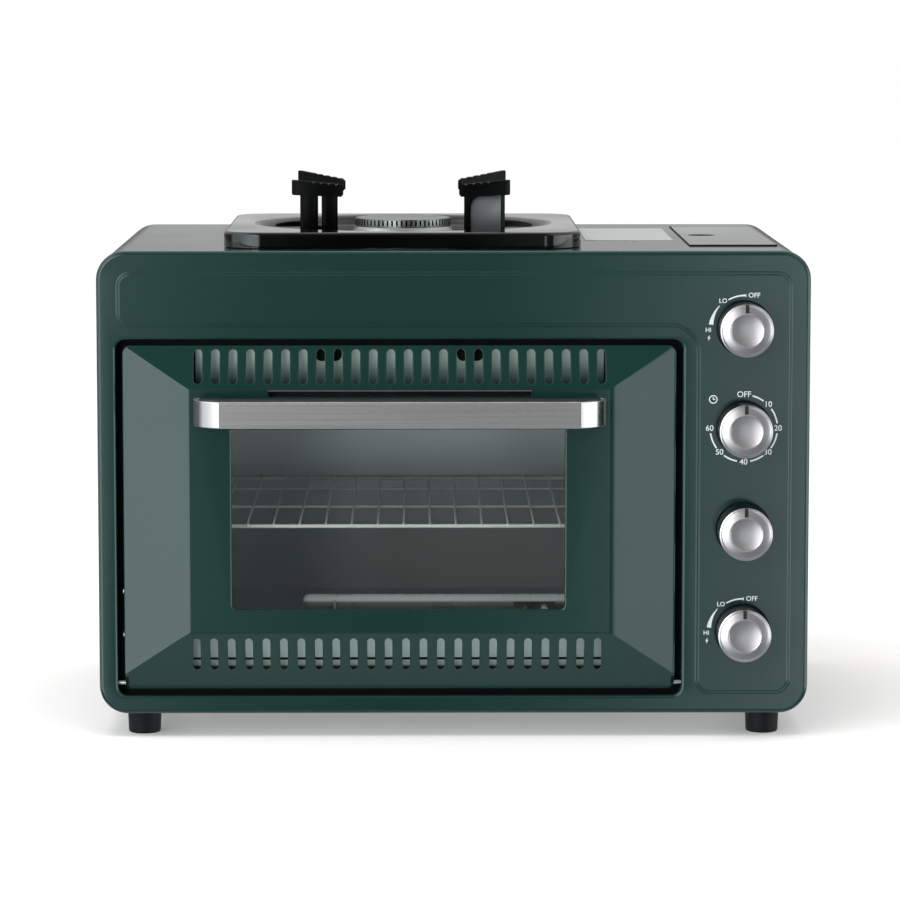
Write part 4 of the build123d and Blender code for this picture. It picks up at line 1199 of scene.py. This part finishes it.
def small_parts():
    # domed rivet heads of the hinge arms, on both edges of the door
    # the right-hand heads are black as painted shade; the left-hand ones zinc
    for sx, x, mat in ((-1, -232.45, ZINC), (1, 156.45, MATT_BLACK)):
        for z in (72.9, 103.8):
            prof = [(2.9, 0.0), (2.8, 0.45), (2.4, 0.95), (1.6, 1.35), (0.8, 1.52), (0.0, 1.56)]

            def w(a, c, h, sx=sx, x=x, z=z):
                return P(x + sx * h, 7.0 + a, z + c)

            v, f = lathe(prof, 40, w)
            o = obj_from("rivet_%s_%d" % ("l" if sx < 0 else "r", z), v, f, mat, "door", (), 40)
            fix_normals(o)
            finish_again(o, 40)
    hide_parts("door_rivets")
    # lighter lip along the slit, a painted highlight; dark strip across the inner sheet, painted shade seen through the
    # lower slots
    slab_plan("slit_lip", [(-129.9, -10.8), (54.4, -10.8), (54.4, -10.3), (-129.9, -10.3)], 247.05, 247.7, 0.12, LIP_PAINTED_HIGHLIGHT, "door", (), 2)
    slab_plan("inner_sheet_shade_strip", [(-190.0, 11.5), (114.0, 11.5), (114.0, 12.28), (-190.0, 12.28)], 54.0, 55.6, 0.2, MATT_BLACK, "door", (), 2)
    # matt black strips at both ends of the inner sheet: painted shade behind the end slots
    for x0, x1, za, zb in ((-189.0, -181.3, 160.0, 276.6), (105.6, 113.0, 160.0, 276.6), (-190.0, -184.4, 44.0, 159.9), (104.6, 113.0, 44.0, 159.9)):
        slab_plan("inner_sheet_edge_%d_%d" % (abs(x0), zb), [(x0, 11.3), (x1, 11.3), (x1, 12.28), (x0, 12.28)], za, zb, 0.1, MATT_BLACK, "door", (), 2)
    for x in (-87.9, 11.7):
        pts = rr_pts(x - 9.3, x + 9.3, 266.4, 276.8, 4.2, 6)
        b = Build()
        top = b.loop(pts, 10.9)
        bot = b.loop(pts, 12.28)
        b.bridge(bot, top)
        b.cap(top)
        b.cap(list(reversed(bot)))
        o = obj_from("inner_sheet_plug_%d" % abs(x), b.v, b.f, MATT_BLACK, "door", (), 40)
        fix_normals(o)
        finish_again(o, 40)
    for x in (-158.0, -95.8, 26.3, 86.3):
        def w(a, c, h, x=x):
            return P(x + a, 12.28 - h, 46.9 + c)

        v, f = lathe([(2.3, 0.0), (2.3, 0.6), (1.9, 1.1), (1.0, 1.35), (0.0, 1.4)], 32, w)
        o = obj_from("inner_sheet_screw_%d" % abs(x), v, f, MATT_BLACK, "door", (), 40)
        fix_normals(o)
        finish_again(o, 40)
    # dark well round the burner, and the dark inside of its slots: black pieces as painted shade
    for nm, prof, body in (("burner_well", [(38.2, 344.42), (49.8, 344.42), (49.8, 344.9), (38.2, 344.9), (38.2, 344.42)], "housing"),
                           ("burner_crown_core", [(29.9, 353.8), (32.9, 353.8), (32.9, 358.66), (29.9, 358.66), (29.9, 353.8)], "housing")):
        def w2(a, c, h):
            return P(BX + a, BD + c, h)

        v, f = lathe(prof, 96, w2)
        o = obj_from(nm, v, f, SHADE_BLACK, body, (), 40)
        fix_normals(o)
        finish_again(o, 40)
    # dark bottom of the finger dish
    def w3(a, c, h):
        return P(186 + a, 194 + c, h)

    v, f = lathe([(0.0, 341.6), (7.2, 341.6), (8.4, 341.9), (9.0, 342.6), (9.0, 341.5), (7.4, 341.0), (0.0, 341.0)], 64, w3)
    o = obj_from("lid_pull_inset", v, f, RUBBER, "lid", (), 40)
    fix_normals(o)
    finish_again(o, 40)
    # dark strips along the cartridge lid's edges, painted shadow of the gap under the lid
    slab_plan("lid_gap_shadow_side", [(168.62, 64.0), (169.35, 64.0), (169.35, 299.6), (168.62, 299.6)], 342.6, 344.75, 0.15, RUBBER, "lid", (), 2)
    slab_plan("lid_gap_shadow_front", [(168.62, 63.6), (231.5, 63.6), (231.5, 64.7), (168.62, 64.7)], 342.6, 344.85, 0.2, RUBBER, "lid", (), 2)


small_parts()


# =====================================================================================
# prints on the control column
# =====================================================================================
PD = -1.06


def flat_shape(name, outline, mat=None, body="housing"):
    """thin printed shape on the raised panel"""
    b = Build()
    top = b.loop(outline, PD)
    bot = b.loop(outline, PD + 0.05)
    b.fill([top])
    b.fill([bot])
    b.bridge(bot, top)
    o = obj_from(name, b.v, b.f, mat or PRINT, body, (), 30, False)
    fix_normals(o)
    return o


def arc(name, cz, r, a0, a1, w0, w1=None, n=None):
    """stroke along an arc; angles clockwise from the top, in degrees"""
    w1 = w0 if w1 is None else w1
    n = n or max(6, int(abs(a1 - a0) / 4))
    outer, inner = [], []
    for k in range(n + 1):
        t = k / n
        a = math.radians(a0 + (a1 - a0) * t)
        w = w0 + (w1 - w0) * t
        outer.append((KX + (r + w / 2) * math.sin(a), cz + (r + w / 2) * math.cos(a)))
        inner.append((KX + (r - w / 2) * math.sin(a), cz + (r - w / 2) * math.cos(a)))
    return flat_shape(name, outer + list(reversed(inner)))


def label(name, text, x, z, size, bold=0.0):
    cu = bpy.data.curves.new(name, "FONT")
    cu.body = text
    cu.size = size * S
    cu.align_x = "CENTER"
    cu.align_y = "CENTER"
    cu.extrude = 0.02 * S
    cu.offset = bold * S
    o = bpy.data.objects.new(name, cu)
    scene.collection.objects.link(o)
    o.rotation_euler = (math.pi / 2, 0, 0)
    o.location = P(x, PD + 0.025, z)
    bpy.context.view_layer.update()
    dg = bpy.context.evaluated_depsgraph_get()
    me = bpy.data.meshes.new_from_object(o.evaluated_get(dg))
    me.transform(o.matrix_world)
    bpy.data.objects.remove(o)
    o = bpy.data.objects.new(name, me)
    scene.collection.objects.link(o)
    me.materials.clear()
    finish_obj(o, PRINT, "housing", (), 30, False)
    return o


def prints():
    # timer: 0 at the top, clockwise in sixths of three quarters of a turn
    z = KZ["timer_knob"]
    R = 23.6
    marks = [("OFF", 0), ("10", 45), ("20", 90), ("30", 135), ("40", 180), ("50", 225), ("60", 270)]
    half = {"OFF": 14.5, "10": 9.5, "20": 8.5, "30": 9.0, "40": 11.5, "50": 9.0, "60": 8.5}
    for t, a in marks:
        r = math.radians(a)
        label("print_time_" + t.lower(), t, KX + (R + 0.4) * math.sin(r), z + (R + 0.2) * math.cos(r), 5.7 if t == "OFF" else 5.6, 0.06)
    for i in range(6):
        a0, a1 = marks[i][1] + half[marks[i][0]], marks[i + 1][1] - half[marks[i + 1][0]]
        arc("print_time_arc_%d" % i, z, R, a0, a1, 1.1)
    # clock face
    cx, cz = KX - 21.6, z + 20.4
    ring_o = [(cx + 3.0 * math.cos(2 * math.pi * k / 32), cz + 3.0 * math.sin(2 * math.pi * k / 32)) for k in range(33)]
    ring_i = [(cx + 2.35 * math.cos(2 * math.pi * k / 32), cz + 2.35 * math.sin(2 * math.pi * k / 32)) for k in range(33)]
    flat_shape("print_clock_ring", ring_o[:-1] + [ring_o[0], ring_i[0]] + list(reversed(ring_i[:-1])))
    flat_shape("print_clock_hand_a", [(cx - 0.28, cz - 0.28), (cx + 0.28, cz - 0.28), (cx + 0.28, cz + 1.7), (cx - 0.28, cz + 1.7)])
    flat_shape("print_clock_hand_b", [(cx + 0.28, cz - 0.28), (cx + 1.4, cz - 0.28), (cx + 1.4, cz + 0.28), (cx + 0.28, cz + 0.28)])
    for name in ("stove_knob", "oven_knob"):
        z = KZ[name]
        tag = "print_" + name[:5].rstrip("_")
        label(tag + "_off", "OFF", KX + 6.6, z + 22.9, 4.7, 0.06)
        arc(tag + "_arc", z, 22.9, 0.5, -30, 1.15, 0.85)
        flat_shape(tag + "_tick", [(KX + 0.3, z + 21.9), (KX + 0.9, z + 21.9), (KX + 0.9, z + 23.9), (KX + 0.3, z + 23.9)])
        label(tag + "_lo", "LO", KX - 15.2, z + 19.0, 4.4, 0.06)
        arc(tag + "_wedge", z, 23.6, -48, -84, 0.35, 3.2)
        label(tag + "_hi", "HI", KX - 25.4, z - 1.4, 4.3, 0.05)
        sx, sz = KX - 24.9, z - 6.9
        flat_shape(tag + "_spark", [(sx + 0.5, sz + 2.1), (sx - 1.2, sz - 0.2), (sx - 0.15, sz - 0.1), (sx - 0.7, sz - 2.2), (sx + 1.2, sz + 0.35), (sx + 0.15, sz + 0.25)])


prints()

# =====================================================================================
# finishes on the carried-over CAD nodes
# =====================================================================================
FIN = {
    "outer_cover": GREEN, "cartridge_lid": GREEN_LID, "back_panel": GREEN, "door_inner_panel": INNER_PAINTED_LIGHT,
    "base_pan": GALV, "back_screws": ZINC, "front_frame": MATT_BLACK, "hinge_brackets": ZINC, "cavity_liner": CAVITY_PAINTED_LIGHT,
    "rack_rails": CAVITY_PAINTED_LIGHT, "oven_burner_tube": STEEL_TUBE_PAINTED_LIGHT, "burner_bracket": CAVITY_PAINTED_LIGHT, "sensor_bracket": HEAT_DARK,
    "thermocouple": BRASS, "oven_igniter": CERAMIC, "oven_injector": BRASS, "heat_shield": GALV,
    "control_bracket": GALV, "stove_valve": BRASS, "oven_valve": BRASS, "safety_valve": BRASS, "timer_body": GALV,
    "regulator": BRASS, "gas_manifold": BRASS, "oven_gas_pipe": BRASS, "cartridge_bay": GALV, "lid_hinge_pin": ZINC,
    "lid_hinge_leaf": ZINC, "stove_burner_body": CAST_AL, "stove_igniter": CERAMIC, "knob_bezels": BEZEL,
    "label_blank": LABEL, "foot_screws": ZINC, "door_glass_outer": GLASS, "door_glass_inner": GLASS_IN,
    "glass_retainer": MATT_BLACK, "handle_screws": ZINC, "door_hinge_arms": MATT_BLACK, "door_hinge_pins": ZINC,
    "door_rivets": ZINC, "door_spacers": MATT_BLACK, "stove_stem": ZINC, "timer_shaft": ZINC, "safety_stem": ZINC,
    "oven_stem": ZINC,
}
for node, mat in FIN.items():
    o = N[node]
    o.data.materials.clear()
    o.data.materials.append(mat)

# =====================================================================================
# floor, lights, camera
# =====================================================================================
me = bpy.data.meshes.new("floor")
me.from_pydata([(-30, -30, 0), (30, -30, 0), (30, 30, 0), (-30, 30, 0)], [], [(0, 1, 2, 3)])
floor = bpy.data.objects.new("floor", me)
scene.collection.objects.link(floor)
fm = Mat("floor_pale", Roughness=0.9)
fm.set("Base Color", (0.83, 0.8, 0.79))
fm.set("Specular IOR Level", 0.0)
fm.set("Emission Color", (1.0, 1.0, 1.0))
fm.set("Emission Strength", 0.18)
me.materials.append(fm.m)
floor.visible_glossy = False

world = bpy.data.worlds.new("studio")
scene.world = world
world.use_nodes = True
wt = world.node_tree
wn, wl = wt.nodes, wt.links
PEAK = 3.2


COOL = (0.91, 1.04, 1.07)


def tint(c, stops):
    return [(p, tuple(min(PEAK, v * k) for k in c)) for p, v in stops]


def w_ramp(src, stops, lo=-1.0, hi=1.0):
    """piecewise brightness against one component of the direction, scaled by PEAK"""
    r = wn.new("ShaderNodeValToRGB")
    m = wn.new("ShaderNodeMapRange")
    m.inputs["From Min"].default_value, m.inputs["From Max"].default_value = lo, hi
    wl.new(src, m.inputs["Value"])
    wl.new(m.outputs["Result"], r.inputs["Fac"])
    el = r.color_ramp.elements
    while len(el) < len(stops):
        el.new(0.5)
    for e, (p, v) in zip(el, stops):
        e.position = (p - lo) / (hi - lo)
        v = v if isinstance(v, tuple) else (v, v, v)
        e.color = (v[0] / PEAK, v[1] / PEAK, v[2] / PEAK, 1.0)
    return r.outputs["Color"]


def w_mix(src, lo, hi, a, b):
    m = wn.new("ShaderNodeMapRange")
    m.interpolation_type = "SMOOTHSTEP"
    m.inputs["From Min"].default_value, m.inputs["From Max"].default_value = lo, hi
    wl.new(src, m.inputs["Value"])
    x = wn.new("ShaderNodeMix")
    x.data_type = "RGBA"
    wl.new(m.outputs["Result"], x.inputs[0])
    wl.new(a, x.inputs[6])
    wl.new(b, x.inputs[7])
    return x.outputs[2]


tc = wn.new("ShaderNodeTexCoord")
sep = wn.new("ShaderNodeSeparateXYZ")
wl.new(tc.outputs["Generated"], sep.inputs[0])
dx, dy, dz = sep.outputs[0], sep.outputs[1], sep.outputs[2]
LEFT = [(-1.0, 1.4), (-0.8, 2.3), (-0.6, 3.1), (-0.45, 3.0), (-0.18, 2.9), (-0.12, 1.3), (-0.076, 0.65), (-0.053, 0.14), (-0.03, 0.012), (0.022, 0.012)]
front = w_ramp(dx, tint(COOL, LEFT + [(0.04, 0.14), (0.06, 0.8), (0.09, 1.8), (0.13, 2.0), (0.165, 0.7), (0.21, 0.12), (0.49, 0.12), (0.53, 2.2), (0.62, 2.2), (0.8, 2.9), (1.0, 3.1)]))
front_out = w_ramp(dx, LEFT + [(0.04, 0.14), (0.06, 0.4), (0.12, 0.4), (0.18, 0.12), (0.5, 0.12), (0.62, 1.2), (0.8, 2.4), (1.0, 2.8)])
above = w_ramp(dx, tint((0.92, 1.02, 1.03), [(-1.0, 1.4), (-0.6, 2.2), (-0.25, 0.7), (-0.1, 0.12), (0.1, 0.1), (0.25, 0.5), (0.5, 1.3), (1.0, 0.4)]))
zenith = w_ramp(dx, [(-1.0, 1.0), (0.0, 0.7), (1.0, 0.8)])
below = w_ramp(dz, tint(COOL, [(-1.0, 0.62), (-0.7, 0.62), (-0.6, 0.25), (-0.2, 0.25)]))
back = w_ramp(dz, [(-0.2, 0.7), (-0.1, 0.5), (-0.06, 0.14), (0.041, 0.2), (0.050, 0.95), (0.0565, 0.85), (0.060, 0.66), (0.066, 0.42), (0.2, 0.5), (0.6, 1.0), (1.0, 1.15)], -0.2, 1.0)
fa = w_mix(dz, -0.3, -0.2, front_out, front)
fb = w_mix(dz, -0.03, 0.05, fa, front_out)
f0 = w_mix(dz, 0.08, 0.5, fb, above)
f1 = w_mix(dz, 0.78, 0.95, f0, zenith)
f2 = w_mix(dz, -0.38, -0.22, below, f1)
total = w_mix(dy, 0.03, 0.3, f2, back)
bg = wn["Background"]
bg.inputs["Strength"].default_value = PEAK
wl.new(total, bg.inputs["Color"])
bgc = wn.new("ShaderNodeBackground")
bgc.inputs["Color"].default_value = (1, 1, 1, 1)
bgc.inputs["Strength"].default_value = 1.0
lp = wn.new("ShaderNodeLightPath")
ms = wn.new("ShaderNodeMixShader")
wl.new(lp.outputs["Is Camera Ray"], ms.inputs[0])
wl.new(bg.outputs[0], ms.inputs[1])
wl.new(bgc.outputs[0], ms.inputs[2])
wl.new(ms.outputs[0], wn["World Output"].inputs["Surface"])


def area(name, loc, target, size, power, shape="RECTANGLE"):
    li = bpy.data.lights.new(name, "AREA")
    li.shape = shape
    li.size, li.size_y = size
    li.energy = power
    o = bpy.data.objects.new(name, li)
    scene.collection.objects.link(o)
    o.location = loc
    o.rotation_mode = "QUATERNION"
    o.rotation_quaternion = (Vector(target) - Vector(loc)).to_track_quat("-Z", "Y")
    return o


area("key_top", (-0.2, -0.9, 2.4), (0, 0, 0.2), (1.6, 1.2), 26).visible_glossy = False
area("key_left", (-0.95, -2.6, 0.85), (0, -0.1, 0.2), (0.8, 0.8), 7)

cam_data = bpy.data.cameras.new("cam")
cam = bpy.data.objects.new("cam", cam_data)
scene.collection.objects.link(cam)
cam.location = (-0.02333, (F - 2855.0) * S, 0.52496)
cam.rotation_mode = "QUATERNION"
aim = Vector((-0.002594, F * S, 0.204658))
cam.rotation_quaternion = (aim - cam.location).to_track_quat("-Z", "Y")
cam_data.sensor_width = 36.0
cam_data.lens = 163.78
cam_data.clip_start, cam_data.clip_end = 0.1, 100.0
cam_data.dof.use_dof = False
scene.camera = cam
scene.view_settings.view_transform = "Standard"
scene.view_settings.look = "None"
scene.view_settings.exposure = 0.0
scene.view_settings.gamma = 1.0
